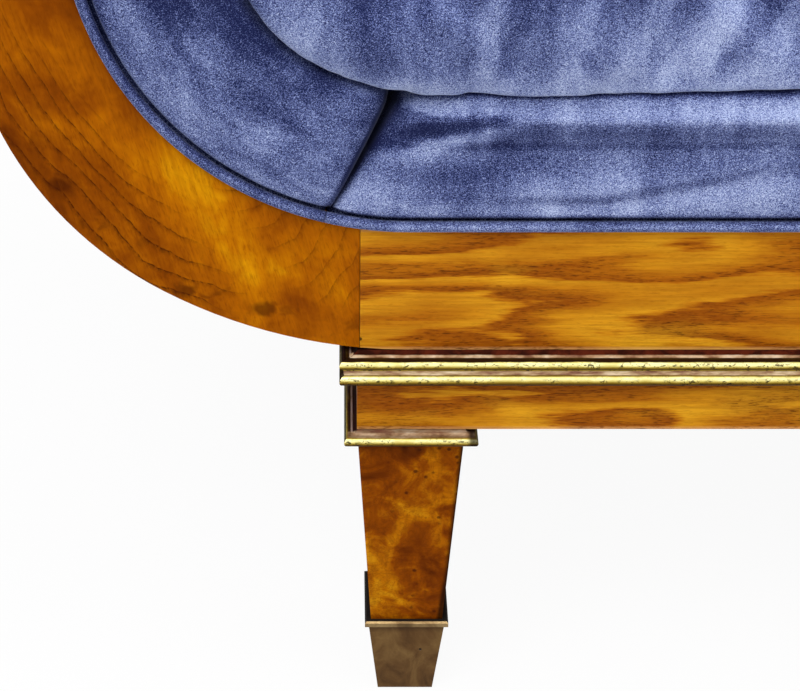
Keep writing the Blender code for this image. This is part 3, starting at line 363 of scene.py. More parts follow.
def burl(name):
    """Clouded burl veneer with dark swirls and pin knots, and a dark veneer edge with painted shade along the
    legs' inner edges.
    """
    s = Surface(name, IOR=1.5, Specular_IOR_Level=0.02, Coat_Weight=0.0)
    x, y, z = s.place.split()
    place = s.join(abs(x) - 2 * LEG_X, y, z)
    figure = 0.6 * place.noise(42.0, 5.0, 0.58, 1.4) + 0.55 * place.noise(17.0, 2.0, 0.5, 0.8)
    colour = figure.ramp((
        (0.36, (58, 20, 0)), (0.47, (98, 42, 0)), (0.56, (124, 60, 0)), (0.65, (160, 94, 2)),
        (0.76, (194, 134, 14)),
    ))
    vein = abs(place.noise(95.0, 4.0, 0.6, 2.5) - 0.5).fade(0.0, 0.045)
    colour = s.mix(0.38 * vein, colour, (84, 34, 3))
    cells = s.made("ShaderNodeTexVoronoi", "Distance", {"Vector": s.place, "Scale": 150.0})
    knot = cells.fade(0.10, 0.26) * s.place.noise(30.0, 1.0).ease(0.53, 0.62)
    colour = s.mix(0.8 * knot, colour, (54, 20, 4))
    fibre = s.place.stretch((1, 1, 0.35)).noise(420.0, 3.0)
    colour = s.mix(fibre.ease(0.4, 0.75, 0.0, 0.34), colour, (84, 34, 0))
    # Painted shade over a darker veneer edge along each leg's inner edge, on its front and back faces.
    half = 0.0220 + 0.0612 * (z - 0.060)
    from_edge = half - (LEG_X - abs(x)) + z.ease(0.060, 0.105, -0.0018, 0.0)
    dark = from_edge.fade(0.0002, 0.0030, 0.9) * abs(s.normal("True Normal")[1]).ease(0.6, 0.9)
    colour = s.mix(dark, colour, (26, 8, 0))
    return s.finish(colour, fibre.ease(0.3, 0.7, 0.28, 0.40), s.bump(fibre, 0.10, 0.0003))


def plain_wood(name, lines, light, dark):
    s = Surface(name)
    grain = lines(s)
    streaks = s.grained(grain, (6.0, 120.0, 120.0), 5.0, 0.6, 0.4)
    flecks = s.grained(grain, (120.0, 900.0, 900.0), 2.0, 0.5)
    colour = s.mix(streaks.ease(0.3, 0.7), light, dark)
    colour = s.mix(flecks.ease(0.58, 0.68, 0.0, 0.5), colour, (110, 74, 44))
    return s.finish(colour, streaks.ease(0.3, 0.7, 0.55, 0.68), s.bump(streaks, 0.15, 0.0004))


# Metal and gilding

def gilt(name, painted_highlight_tilt, fillet, groove, fillet_end, dark_and_shade_shares, worn_above):
    """Worn leaf over a pinkish ground.

    The leaf carries a painted highlight, lightest where it looks up by the tilt angle, given for below and
    above the fillet, and painted shade where it looks away. Fillet gives the heights between which the
    ground shows. On top, from the height worn_above, the ground shows again. The three dark shares set how
    dark it is up to the reach groove in front of the apron, from the reach fillet_end to the bead, and, as
    painted shade, at the ends towards the middle of the sofa.
    """
    s = Surface(name, IOR=1.5, Specular_IOR_Level=0.04)
    x, y, z = s.place.split()
    side, front, up = s.normal()
    # Painted light: the leaf is lit where it looks up by the tilt angle and shaded where it looks away.
    aim = z.ease(*fillet, math.radians(painted_highlight_tilt[0]), math.radians(painted_highlight_tilt[1]))
    facing = up * aim.apply("SINE") + distance(side, front) * aim.apply("COSINE")
    rub = s.place.stretch((0.22, 0.22, 1.0)).noise(300.0, 4.0, 0.62)
    patches = s.place.stretch((0.6, 0.6, 1.0)).noise(110.0, 4.0, 0.6, 0.5)
    leaf = (facing + 0.20 * (patches - 0.5)).ramp((
        (0.50, (52, 34, 4)), (0.76, (108, 82, 18)), (0.87, (158, 134, 52)),
        (0.945, (208, 190, 108)), (0.985, (234, 222, 152)), (1.0, (242, 232, 168)),
    ))
    specks = s.place.stretch((0.5, 0.5, 1.0)).noise(620.0, 3.0, 0.65, 1.2)
    worn = specks.ease(0.53, 0.60) * patches.ease(0.36, 0.52) * up.ease(0.25, 0.75, 1.0, 0.35)
    leaf = s.mix(0.9 * worn, leaf, (30, 20, 6))
    ragged = 0.0010 * (rub - 0.5)
    height = z + ragged
    sideways = abs(x) - (LEG_X + APRON_OUT)
    reach = (FRONT - y).at_least(sideways)
    on_top = height.past(worn_above)
    on_fillet = height.past(fillet[0]) * height.fade(fillet[1] - 0.0003, fillet[1] + 0.0003)
    bare = on_top.at_least(on_fillet)
    ground = rub.ramp((
        (0.24, (78, 38, 26)), (0.38, (134, 96, 76)), (0.50, (176, 145, 110)), (0.66, (220, 198, 168)),
    ))
    ground = s.mix(0.25 * on_top, ground, (120, 80, 60))
    in_groove = s.mix(patches.ease(0.40, 0.62), (36, 6, 0), (74, 24, 8))
    deep = (reach + ragged).fade(groove - 0.0004, groove + 0.0004) * z.ease(worn_above - 0.001, worn_above)
    ground = s.mix(deep * dark_and_shade_shares[0], ground, in_groove)
    behind_bead = reach.past(fillet_end) * z.ease(worn_above - 0.0008, worn_above - 0.0002)
    ground = s.mix(behind_bead * dark_and_shade_shares[1], ground, (30, 10, 0))
    # On the returns the ground is painted in shade, with a thin painted highlight along it.
    near_corner = y.fade(FRONT + 0.04, FRONT + 0.08)
    painted_shade_on_returns = y.ease(FRONT - 0.0005, FRONT + 0.0015) * near_corner
    painted_highlight_line = abs(sideways - (groove + 0.0017)).fade(0.0002, 0.0008, 0.75)
    ground = s.mix(painted_shade_on_returns, ground, s.mix(painted_highlight_line, (34, 14, 12), (168, 144, 136)))
    colour = s.mix(bare, leaf, ground)
    # Round the front corners and at the ends towards the middle the gilding is darkened by painted shade, and
    # at the sawn rear ends it is dark.
    dark = abs(side).ease(0.35, 0.70, 0.0, 0.92) * near_corner
    dark = dark.at_least(front.ease(0.8, 0.9) * abs(y - REAR).fade(0.0002, 0.0004, 0.85))
    dark = dark.at_least((LEG_X - abs(x)).ease(APRON_OUT, 0.0345, 0.0, dark_and_shade_shares[2]))
    colour = s.mix(dark, colour, (20, 8, 6))
    dull = bare.at_least(dark)
    relief = s.bump(rub - worn, 0.22, 0.0004)
    return s.finish(colour, 0.24 + 0.35 * dull + 0.18 * rub, relief, 0.35 * (1.0 - dull))


def aged_brass(name):
    """Browned brass, blackened on the ledge round the leg, rubbed bright on the rim, with a painted shadow
    under the rim.
    """
    s = Surface(name, Specular_IOR_Level=0.2)
    z = s.place.split()[2]
    side, front, up = s.normal("True Normal")
    stain = s.place.stretch((1, 1, 0.6)).noise(55.0, 5.0, 0.6, 0.8)
    fine = s.place.stretch((1, 1, 0.12)).noise(900.0, 3.0)
    colour = stain.ramp((
        (0.28, (62, 40, 18)), (0.45, (92, 64, 33)), (0.60, (112, 84, 47)), (0.78, (136, 108, 66)),
    ))
    rim = z.ease(0.0560, 0.0570) * abs(side).fade(0.3, 0.6)
    colour = s.mix(rim * stain.ease(0.35, 0.65, 0.14, 0.50), colour, (176, 154, 112))
    # A painted shadow under the rim.
    painted_shadow_under_rim = z.ease(0.0490, 0.0550) * z.fade(0.0556, 0.0562)
    colour = s.mix(0.55 * painted_shadow_under_rim, colour, (44, 26, 14))
    ledge = up.ease(0.8, 0.95) * z.ease(0.058, 0.060)
    ledge = ledge.at_least(abs(side).ease(0.3, 0.6) * z.ease(0.052, 0.056))
    colour = s.mix(ledge, colour, (12, 7, 4))
    relief = s.bump(fine + stain, 0.12, 0.0004)
    return s.finish(colour, 0.32 + 0.3 * ledge + 0.2 * fine, relief, 0.85 - 0.85 * ledge)


def dark_pin(name):
    s = Surface(name, Metallic=0.8, Roughness=0.4)
    stain = s.place.noise(900.0, 2.0)
    return s.finish(s.mix(stain, (24, 14, 6), (66, 46, 24)), normal=s.bump(stain, 0.1, 0.0002))


# Cloth

def velvet(name, seed=0.0, base=0.42, painted_tone_facing_up=0.20, painted_tone_facing_down=0.30, streaks=0.46, place_tone=None):
    """Short blue pile: fine grain, brushed in patches, with painted light on faces that look up.

    The two facing gains are painted light and shade: the change of tone on faces that look up and on
    faces that look down. Streaks is the strength of the upright brush marks, and place_tone a function
    that changes the tone by place.
    """
    tint = srgb(200, 208, 230)
    s = Surface(name, Sheen_Weight=0.15, Sheen_Roughness=0.35, Sheen_Tint=tint, Specular_IOR_Level=0.04)
    place = s.place.stretch((1, 1, 1), (seed, seed * 0.7, 0.0))
    up = s.normal()[2]
    brushed = place.stretch((1.0, 0.5, 0.55)).noise(30.0, 4.0, 0.55, 0.7)
    strokes = place.stretch((1.0, 0.12, 0.12)).noise(58.0, 3.0, 0.6, 0.3)
    broad = place.noise(7.0, 2.0)
    grain = place.stretch((1.0, 1.0, 0.7)).noise(2500.0, 1.0, 0.7)
    rib = place.stretch((0.5, 0.5, 1.0)).noise(1900.0, 1.0, 0.6)
    tone = base
    for value, weight in ((brushed, 0.66), (strokes, streaks), (broad, 0.36), (grain, 2.10), (rib, 1.00)):
        tone += weight * (value - 0.5)
    # Painted light and shade by which way a face looks, up or down.
    tone += painted_tone_facing_up * up.at_least(0.0) + painted_tone_facing_down * up.apply("MINIMUM", 0.0)
    if place_tone:
        tone = place_tone(s, tone)
    colour = tone.ramp((
        (0.0, (20, 25, 60)), (0.25, (60, 69, 113)), (0.5, (100, 111, 156)), (0.75, (138, 150, 186)),
        (1.0, (172, 182, 208)),
    ))
    relief = s.bump(grain + 0.6 * rib, 0.20, 0.0004, s.bump(brushed, 0.20, 0.0020))
    return s.finish(colour, grain.ease(0.3, 0.7, 0.75, 0.95), relief)


def border_creases(s, tone):
    """Painted shade in the crease along the welt and in the seam between seat and arm."""
    z = s.place.split()[2]
    from_wood, angle, behind = round_the_bowl(s)
    crease = from_wood.fade(WELT_ROOM - 0.0010, WELT_ROOM + 0.0010, 0.34)
    seam = seam_distance(s).fade(0.0014, 0.0048, 0.72) * z.ease(0.350, 0.380, 0.25, 1.0)
    return tone - behind.fade(0.010, 0.025) * z.fade(0.49, 0.52) * crease.at_least(seam)


def arm_border(s, tone):
    """Pile of an arm border, brushed round the bowl, with a painted sheen near the wood and painted shade
    along its inner edge, darker on its upper part and lighter low down.
    """
    from_wood, angle, behind = round_the_bowl(s)
    marks = s.grained((from_wood, angle, behind), (62.0, 2.6, 9.0), 4.0, 0.62, 0.4)
    # Painted sheen near the wood and painted shade along the inner edge.
    painted_sheen_near_wood = from_wood.ease(0.014, 0.062, 0.14, -0.22)
    painted_shade_inner_edge = from_wood.ease(PAD - 0.015, PAD - 0.003, 0.0, -0.20)
    upper = angle.ease(0.85, 1.25, 0.0, -0.19)
    lower = angle.fade(0.30, 0.55, 0.12)
    change = (painted_sheen_near_wood + painted_shade_inner_edge + upper + lower) * behind.ease(0.0, 0.03, 1.0, 0.35)
    return border_creases(s, tone + 0.95 * (marks - 0.5) + change)


def seat_border(s, tone):
    """Pile of the seat's front, with painted shade behind the roll and under the cushion's edge, and a
    painted fold shadow with a painted ridge highlight at each corner.
    """
    x, y, z = s.place.split()
    # Painted shade on the seat's top behind the roll, and a painted shadow under the cushion's front edge.
    tone -= 0.25 * (y - FRONT).ease(-0.003, 0.010)
    tone -= 0.48 * z.ease(0.4140, 0.4180)
    tone -= 0.22 * z.ease(0.362, 0.380) * z.fade(0.3885, 0.3940)
    # A darker patch low down beside the seam.
    tone -= 0.40 * abs(abs(x) - 0.643).fade(0.008, 0.042) * abs(z - 0.367).fade(0.004, 0.018)
    # A painted fold shadow in a dark wedge that narrows away from the seam, and a painted highlight on the
    # ridge below it.
    from_tip = abs(x) - 0.606
    over = z - (0.4066 - 0.270 * from_tip)
    under = 0.4084 + 0.030 * from_tip - z
    ragged = 0.006 * (s.place.noise(160.0, 3.0) - 0.5)
    painted_fold_shadow = (over + ragged).ease(-0.0040, 0.0036) * (under + ragged).ease(-0.0014, 0.0026)
    painted_fold_shadow *= from_tip.ease(0.0, 0.016)
    painted_ridge_highlight = abs(over + 0.0062).fade(0.0008, 0.0062) * from_tip.ease(-0.004, 0.010)
    painted_ridge_highlight *= from_tip.fade(0.060, 0.076)
    return border_creases(s, tone - 0.46 * painted_fold_shadow + 0.12 * painted_ridge_highlight)


def arm_piping(s, tone):
    """Piping with a painted sheen along its edge at the wood and painted shade on the side towards the
    velvet, darker along the arms than along the seat.
    """
    from_wood, angle, behind = round_the_bowl(s)
    # Painted shade on the side towards the velvet, and a painted sheen at the edge by the wood.
    inner = from_wood.ease(0.0034, 0.0056) * from_wood.fade(0.0066, 0.0080)
    change = from_wood.fade(0.0000, 0.0014, 0.26) - 0.32 * inner
    along_arm = abs(s.place.split()[0]).ease(LEG_X + 0.01, LEG_X + 0.06, 0.0, 0.17)
    return tone + change * behind.fade(0.010, 0.020) - along_arm


# Strokes on the cushion's front, brush marks in the pile with painted fold shade: place out from the middle,
# half width, slant and gain of tone
CUSHION_STROKES = (
    (0.728, 0.022, 0.0, 0.10), (0.672, 0.044, 0.0, -0.14), (0.625, 0.010, 0.15, 0.16),
    (0.612, 0.009, 0.2, -0.12), (0.578, 0.008, 0.2, 0.17), (0.566, 0.014, 0.2, -0.12),
    (0.545, 0.012, 0.45, 0.15), (0.510, 0.020, 0.6, 0.22), (0.490, 0.012, 0.6, -0.14),
    (0.472, 0.014, 0.4, 0.14),
)


def cushion_front(s, tone):
    """Pile of the loose cushion, with a painted sheen along its lower edge, darker higher up, and strokes
    near the front corners that are brush marks in the pile with painted fold shade.
    """
    x, y, z = s.place.split()
    # A painted sheen lightens the lower edge; higher up the pile is darker.
    tone += z.fade(DECK_TOP - 0.004, DECK_TOP + 0.022, 0.26)
    tone -= z.ease(DECK_TOP + 0.028, DECK_TOP + 0.058, 0.0, 0.20)
    stroked = y.fade(FRONT + 0.010, FRONT + 0.040) * z.ease(DECK_TOP + 0.004, DECK_TOP + 0.014)
    rise = z - (DECK_TOP + 0.032)
    out = abs(x) + 0.016 * (s.place.noise(70.0, 3.0, 0.6) - 0.5)
    for middle, half, slant, gain in CUSHION_STROKES:
        tone += abs(out + rise * slant - middle).fade(half * 0.2, half, gain) * stroked
    return tone


def woven(name, light, dark, pitch, along=(0, 1)):
    """Plain weave of threads a pitch apart."""
    s = Surface(name, Specular_IOR_Level=0.2)
    places = s.place.split()
    warp, weft = ((places[axis] * (2 * math.pi / pitch)).apply("SINE") for axis in along)
    weave = 0.5 + 0.5 * (warp * weft)
    fuzz = s.place.noise(60.0, 5.0, 0.65)
    colour = s.mix(0.45 * fuzz + 0.55 * weave, dark, light)
    return s.finish(colour, fuzz.ease(0.2, 0.8, 0.80, 0.98), s.bump(weave, 0.4, 0.0004))


ASH_RAIL = ash_flames("ash_veneer_rail", along_x, 1.3, (RAIL_BOTTOM, RAIL_TOP))
ASH_BASE = ash_flames("ash_veneer_base", along_x, 3.9, (APRON_BOTTOM,))
ASH_SIDE = ash_flames("ash_veneer_side", along_y, 5.2)
ASH_CREST = ash_flames("ash_veneer_crest", along_x, 7.7)
ASH_ARM = ash_arch("ash_veneer_arm")
BURL = burl("burl_veneer")
GILT_MOULDING = gilt(
    "worn_gilt_moulding", (36.0, 26.0), (0.2507, 0.2536), 0.0022, 0.0043, (1.0, 1.0, 0.0), 0.2601,
)
GILT_CAP = gilt("worn_gilt_cap", (30.0, 30.0), (0.0, 0.0), 0.0013, 0.0034, (0.5, 0.4, 0.85), 0.2066)
BRASS = aged_brass("aged_brass")
PIN_BRASS = dark_pin("dark_pin_brass")
VELVET = velvet("blue_velvet")
SEAT_VELVET = velvet("blue_seat_velvet", 1.0, 0.53, 0.09, 0.80, 0.50, seat_border)
CUSHION_VELVET = velvet("blue_cushion_velvet", 6.0, 0.38, 0.20, -0.12, 0.60, cushion_front)
ARM_VELVET = velvet("blue_arm_velvet", 2.0, 0.27, 0.25, 0.10, 0.20, arm_border)
PIPING = velvet("velvet_piping", 4.0, 0.41, 0.20, 0.15, 0.46, arm_piping)
BEECH = plain_wood("raw_beech", along_x, (206, 170, 126), (178, 138, 96))
BEECH_SIDE = plain_wood("raw_beech_side", along_y, (206, 170, 126), (178, 138, 96))
CANVAS = woven("unbleached_canvas", (196, 176, 140), (146, 124, 90), 0.0016, (1, 2))
JUTE = woven("jute_webbing", (160, 136, 96), (104, 82, 54), 0.0030)
DUST_CLOTH = woven("black_dust_cloth", (38, 38, 40), (12, 12, 13), 0.0012)

# Finish by the end of a node's name, and velvet for all others
FINISHES = (
    ("front_seat_rail", ASH_RAIL), ("rear_seat_rail", ASH_RAIL), ("_seat_rail", BEECH_SIDE),
    ("front_apron", ASH_BASE), ("rear_apron", ASH_BASE), ("rear_base_strip", ASH_BASE), ("_apron", ASH_SIDE),
    ("_arm_front", ASH_ARM), ("_arm_rear", ASH_ARM), ("_arm_top_rail", BEECH_SIDE), ("_arm_canvas", CANVAS),
    ("back_crest_rail", ASH_CREST), ("seat_springs_and_webbing", JUTE), ("dust_cover", DUST_CLOTH),
    ("_gilt_moulding", GILT_MOULDING), ("_leg_cap", GILT_CAP), ("_leg", BURL), ("_sabot", BRASS),
    ("_corner_block", BEECH), ("_back_upright", BEECH), ("", VELVET),
)


def smoothing_group(limit, weld_distance=0.00002):
    """Modifier nodes that weld a part's faces and shade them smooth where they meet below an angle."""
    tree = bpy.data.node_groups.new("smooth_up_to_an_angle", "GeometryNodeTree")
    for direct in ("INPUT", "OUTPUT"):
        tree.interface.new_socket("Mesh", in_out=direct, socket_type="NodeSocketGeometry")
    angle = new_node(tree, "GeometryNodeInputMeshEdgeAngle").outputs["Unsigned Angle"]
    sharp = new_node(tree, "FunctionNodeCompare", {0: angle, 1: math.radians(limit)}).outputs[0]
    shape = new_node(tree, "NodeGroupInput").outputs[0]
    for kind, inputs, settings in (
        ("GeometryNodeMergeByDistance", {"Distance": weld_distance}, {}),
        ("GeometryNodeRemoveAttribute", {"Name": "custom_normal"}, {}),
        ("GeometryNodeSetShadeSmooth", {"Shade Smooth": True}, {}),
        ("GeometryNodeSetShadeSmooth", {"Selection": sharp, "Shade Smooth": False}, {"domain": "EDGE"}),
    ):
        shape = new_node(tree, kind, {0: shape, **inputs}, **settings).outputs[0]
    new_node(tree, "NodeGroupOutput", {0: shape})
    return tree


SMOOTHING = smoothing_group(32.0)
for node_name, node_object in NODES.items():
    node_object.modifiers.new("smooth_shading", "NODES").node_group = SMOOTHING
    finish = next(material for ending, material in FINISHES if node_name.endswith(ending))
    for material_slot in node_object.material_slots:
        material_slot.material = finish


# Lines of the arm, as distance out from the leg centre and height

FLARE_CENTRE = np.array((0.429, 0.515))
FLARE_RADIUS = 0.250
FLARE_ANGLE = 60.0
SCROLL_RADIUS = 0.052
SCROLL_CLOSE = 315.0
OUTER_CENTRE_OUT = 0.0022
OUTER_LOW_RADIUS = 0.2597
OUTER_SPLIT = 31.5
WAIST_OUT = 0.2317


def direction(angle):
    """Unit vector at an angle in degrees from straight down, turning outwards."""
    turn = math.radians(angle)
    return np.array((math.sin(turn), -math.cos(turn)))


BOWL = np.array(BOWL_CENTRE)
ROLL_CENTRE = FLARE_CENTRE + (FLARE_RADIUS - SCROLL_RADIUS) * direction(-90 - FLARE_ANGLE)


def bowl_angle(out, radius=BOWL_RADIUS):
    return math.degrees(math.asin((out - BOWL_CENTRE[0]) / radius))


def arm_line(first, roll_end, pitch):
    """Places on the wood's inner edge: point, direction to the sitter, and progress 0 to 3."""
    arcs = [(BOWL, BOWL_RADIUS, first, 90.0, 1), (FLARE_CENTRE, FLARE_RADIUS, -90.0, -90.0 - FLARE_ANGLE, -1)]
    if roll_end is not None:
        arcs.append((ROLL_CENTRE, SCROLL_RADIUS, -90.0 - FLARE_ANGLE, -90.0 - roll_end, -1))
    places = []
    for stage, (centre, radius, begin, end, inward) in enumerate(arcs):
        count = max(2, round(radius * math.radians(abs(end - begin)) / pitch))
        for index in range(1 if places else 0, count + 1):
            aim = direction(begin + (end - begin) * index / count)
            places.append((centre + radius * aim, -inward * aim, stage + index / count))
    return places


def outer_line(inset, first_out, pitch):
    """The arm's outer edge from the seam up to the roll, moved in by the inset."""
    sine = math.sin(math.radians(OUTER_SPLIT))
    low_centre = np.array((OUTER_CENTRE_OUT, RAIL_BOTTOM + OUTER_LOW_RADIUS))
    high_radius = (WAIST_OUT - OUTER_CENTRE_OUT - OUTER_LOW_RADIUS * sine) / (1 - sine)
    high_centre = low_centre + (OUTER_LOW_RADIUS - high_radius) * direction(OUTER_SPLIT)
    waist = high_centre + high_radius * direction(90)
    reach = ROLL_CENTRE + SCROLL_RADIUS * direction(-90 - SCROLL_CLOSE) - waist
    neck_radius = float(reach @ reach) / (2 * reach[0])
    neck_centre = waist + np.array((neck_radius, 0.0))
    neck_angle = math.degrees(math.asin(reach[1] / neck_radius))
    low = OUTER_LOW_RADIUS - inset
    first = math.degrees(math.asin((first_out - OUTER_CENTRE_OUT) / low))
    points = []
    for centre, radius, begin, end in (
        (low_centre, low, first, OUTER_SPLIT),
        (high_centre, high_radius - inset, OUTER_SPLIT, 90.0),
        (neck_centre, neck_radius + inset, -90.0, -90.0 - neck_angle),
    ):
        count = max(2, round(radius * math.radians(abs(end - begin)) / pitch))
        for index in range(1 if points else 0, count + 1):
            points.append(centre + radius * direction(begin + (end - begin) * index / count))
    return points


def rear_face(height, in_front=0.0):
    """Depth of the raked rear plane at a height, or of a plane in front of it."""
    return REAR + (height - RAIL_BOTTOM) * math.tan(RAKE) - in_front


def pad_depth(progress):
    """Thickness of the arm pad, which thins over the flare and again round the roll."""
    if progress <= 1:
        return PAD
    if progress <= 2:
        return PAD - 0.050 * (progress - 1) ** 2 * (5 - 2 * progress)
    return 0.030 - 0.020 * (progress - 2)


# Meshes from grids of points

def unit(value):
    return np.clip(value, 0.0, 1.0)


def eased(value):
    share = unit(value)
    return share * share * (3 - 2 * share)


def gone_along(points):
    """Length of a line up to each of its points."""
    return np.concatenate(((0.0,), np.cumsum(np.linalg.norm(np.diff(points, axis=0), axis=1))))


def smooth_line(points, count):
    """Evenly spaced points on a smooth line through the given ones."""
    p = np.array(points, float)
    padded = np.vstack((2 * p[0] - p[1], p, 2 * p[-1] - p[-2]))
    fine = [p[0]]
    for a, b, c, d in zip(padded, padded[1:], padded[2:], padded[3:]):
        for t in np.linspace(0, 1, 13)[1:]:
            bend = (2 * a - 5 * b + 4 * c - d) * t ** 2 + (3 * b - a - 3 * c + d) * t ** 3
            fine.append(0.5 * (2 * b + (c - a) * t + bend))
    fine = np.array(fine)
    length = gone_along(fine)
    wanted = np.linspace(0.0, length[-1], count + 1)
    return np.stack([np.interp(wanted, length, fine[:, axis]) for axis in range(p.shape[1])], axis=1)


def add_object(name, mesh, material, nodes=(), body="sofa"):
    mesh.materials.append(material)
    mesh.shade_smooth()
    item = bpy.data.objects.new(name, mesh)
    bpy.context.scene.collection.objects.link(item)
    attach(item, body)
    if nodes:
        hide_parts(*nodes)
    return item


def mesh_of(shape, name):
    """A new mesh with what has been built in a working shape."""
    mesh = bpy.data.meshes.new(name)
    shape.to_mesh(mesh)
    shape.free()
    return mesh


def mesh_from(name, points, faces):
    mesh = bpy.data.meshes.new(name)
    mesh.from_pydata(points.reshape(-1, 3).tolist(), [], faces)
    shape = bmesh.new()
    shape.from_mesh(mesh)
    bmesh.ops.recalc_face_normals(shape, faces=shape.faces[:])
    shape.to_mesh(mesh)
    shape.free()
    return mesh


def closed_mesh(name, grid):
    """Skin over rings of points, with both ends capped."""
    rings, count = grid.shape[:2]
    index = np.arange(rings * count).reshape(rings, count)
    following = np.roll(index, -1, axis=1)
    quads = np.stack((index[:-1], following[:-1], following[1:], index[1:]), axis=-1).reshape(-1, 4)
    return mesh_from(name, grid, quads.tolist() + [index[0][::-1].tolist(), index[-1].tolist()])


def grid_normals(grid):
    along = np.gradient(grid, axis=0)
    across = np.roll(grid, -1, axis=1) - np.roll(grid, 1, axis=1)
    normal = np.cross(across, along)
    return normal / np.maximum(np.linalg.norm(normal, axis=2, keepdims=True), 1e-9)


def field(points, scale, seed):
    """Smooth noise from -1 to 1 at each point."""
    flat = points.reshape(-1, 3) * scale
    values = [noise.noise(Vector((x + seed, y - 2 * seed, z + 3 * seed))) for x, y, z in flat]
    return np.array(values).reshape(points.shape[:-1])


def fold(x, z, path, width):
    """One along a path in x and z and zero away from it, fading at both ends."""
    best = np.zeros_like(x)
    line = np.array(path, float)
    lengths = gone_along(line)
    for a, b, start in zip(line, line[1:], lengths):
        step = b - a
        share = unit(((x - a[0]) * step[0] + (z - a[1]) * step[1]) / (step @ step))
        away = np.hypot(x - a[0] - share * step[0], z - a[1] - share * step[1])
        along = (start + share * np.linalg.norm(step)) / lengths[-1]
        fade = unit(np.minimum(along, 1 - along) * 5)
        best = np.maximum(best, fade * np.exp(-(away / width) ** 2))
    return best


def add_piping(name, points, nodes=(), radius=WELT_RADIUS, sides=12):
    """Round piping through points, with its ends closed."""
    line = np.array(points, float)
    ahead = np.gradient(line, axis=0)
    ahead /= np.linalg.norm(ahead, axis=1, keepdims=True)
    turns = np.linspace(0.0, 2 * math.pi, sides, endpoint=False)
    side = np.cross(ahead[0], (0.0, 1.0, 0.0))
    if np.linalg.norm(side) < 0.1:
        side = np.cross(ahead[0], (1.0, 0.0, 0.0))
    rings = []
    for place, aim in zip(line, ahead):
        side = side - aim * (side @ aim)
        side /= np.linalg.norm(side)
        other = np.cross(aim, side)
        rings.append(place + radius * (np.cos(turns)[:, None] * side + np.sin(turns)[:, None] * other))
    add_object(name, closed_mesh(name, np.array(rings)), PIPING, nodes)


# Arm pads, seat pad and welts

# Sections of the borders: share of the free height and of the swelling
ARM_CREST = (
    (0.010, 0.34), (0.028, 0.60), (0.07, 0.78), (0.20, 0.95), (0.32, 1.0), (0.50, 0.80), (0.68, 0.52),
)
SEAT_CREST = (
    (0.008, 0.38), (0.024, 0.62), (0.06, 0.74), (0.16, 0.79), (0.28, 0.62), (0.38, 0.34),
    (0.48, 0.06), (0.56, -0.02), (0.65, 0.28), (0.745, 0.74), (0.825, 0.85),
)
BORDER_SWELL = 0.006
BORDER_EDGE = 0.016            # rounding of a border's inner edge
# Folds in each half of the seat's border: depth inwards, width, and places out from the middle and up.
# A drag fold runs from the corner up into the roll with a ridge below it, and slack folds lie lower.
SEAT_FOLDS = (
    (0.0010, 0.0080, ((0.694, 0.3950), (0.672, 0.3970), (0.652, 0.3995), (0.630, 0.4040), (0.600, 0.4072))),
    (-0.0012, 0.0070, ((0.690, 0.3790), (0.668, 0.3820), (0.650, 0.3850), (0.632, 0.3930), (0.604, 0.4020))),
    (0.0016, 0.0055, ((0.636, 0.3560), (0.560, 0.3550), (0.518, 0.3635), (0.457, 0.3745), (0.390, 0.3795))),
    (-0.0014, 0.0070, ((0.620, 0.3650), (0.560, 0.3655), (0.512, 0.3750), (0.455, 0.3850))),
    (0.0012, 0.0060, ((0.300, 0.3700), (0.220, 0.3640), (0.120, 0.3700))),
)
SPRING_ROOM = 0.056            # the seat pad's underside is open to the springs inside this rim
DECK_THICKNESS = 0.032


def border(depth, crest):
    """Section of a stuffed border: distance from the wood and distance behind its front plane."""
    free = depth - WELT_ROOM
    swell = BORDER_SWELL * free / (PAD - WELT_ROOM)
    edge = min(BORDER_EDGE, 0.35 * free)
    line = [(GAP, 0.0046), (WELT_ROOM - 0.0014, 0.0050), (WELT_ROOM - 0.0002, 0.0024)]
    line += [(WELT_ROOM + run * free, -rise * swell) for run, rise in crest]
    bend = ((0.50, 0.05), (0.20, 0.34), (0.02, 1.0))
    return line + [(depth - short * edge, behind * edge) for short, behind in bend]


def seam_pull(away, share):
    """Share of the drawing in that is left at a distance from the seam; it reaches furthest at the top."""
    return np.exp(-away / (0.0030 + 0.0045 * share))


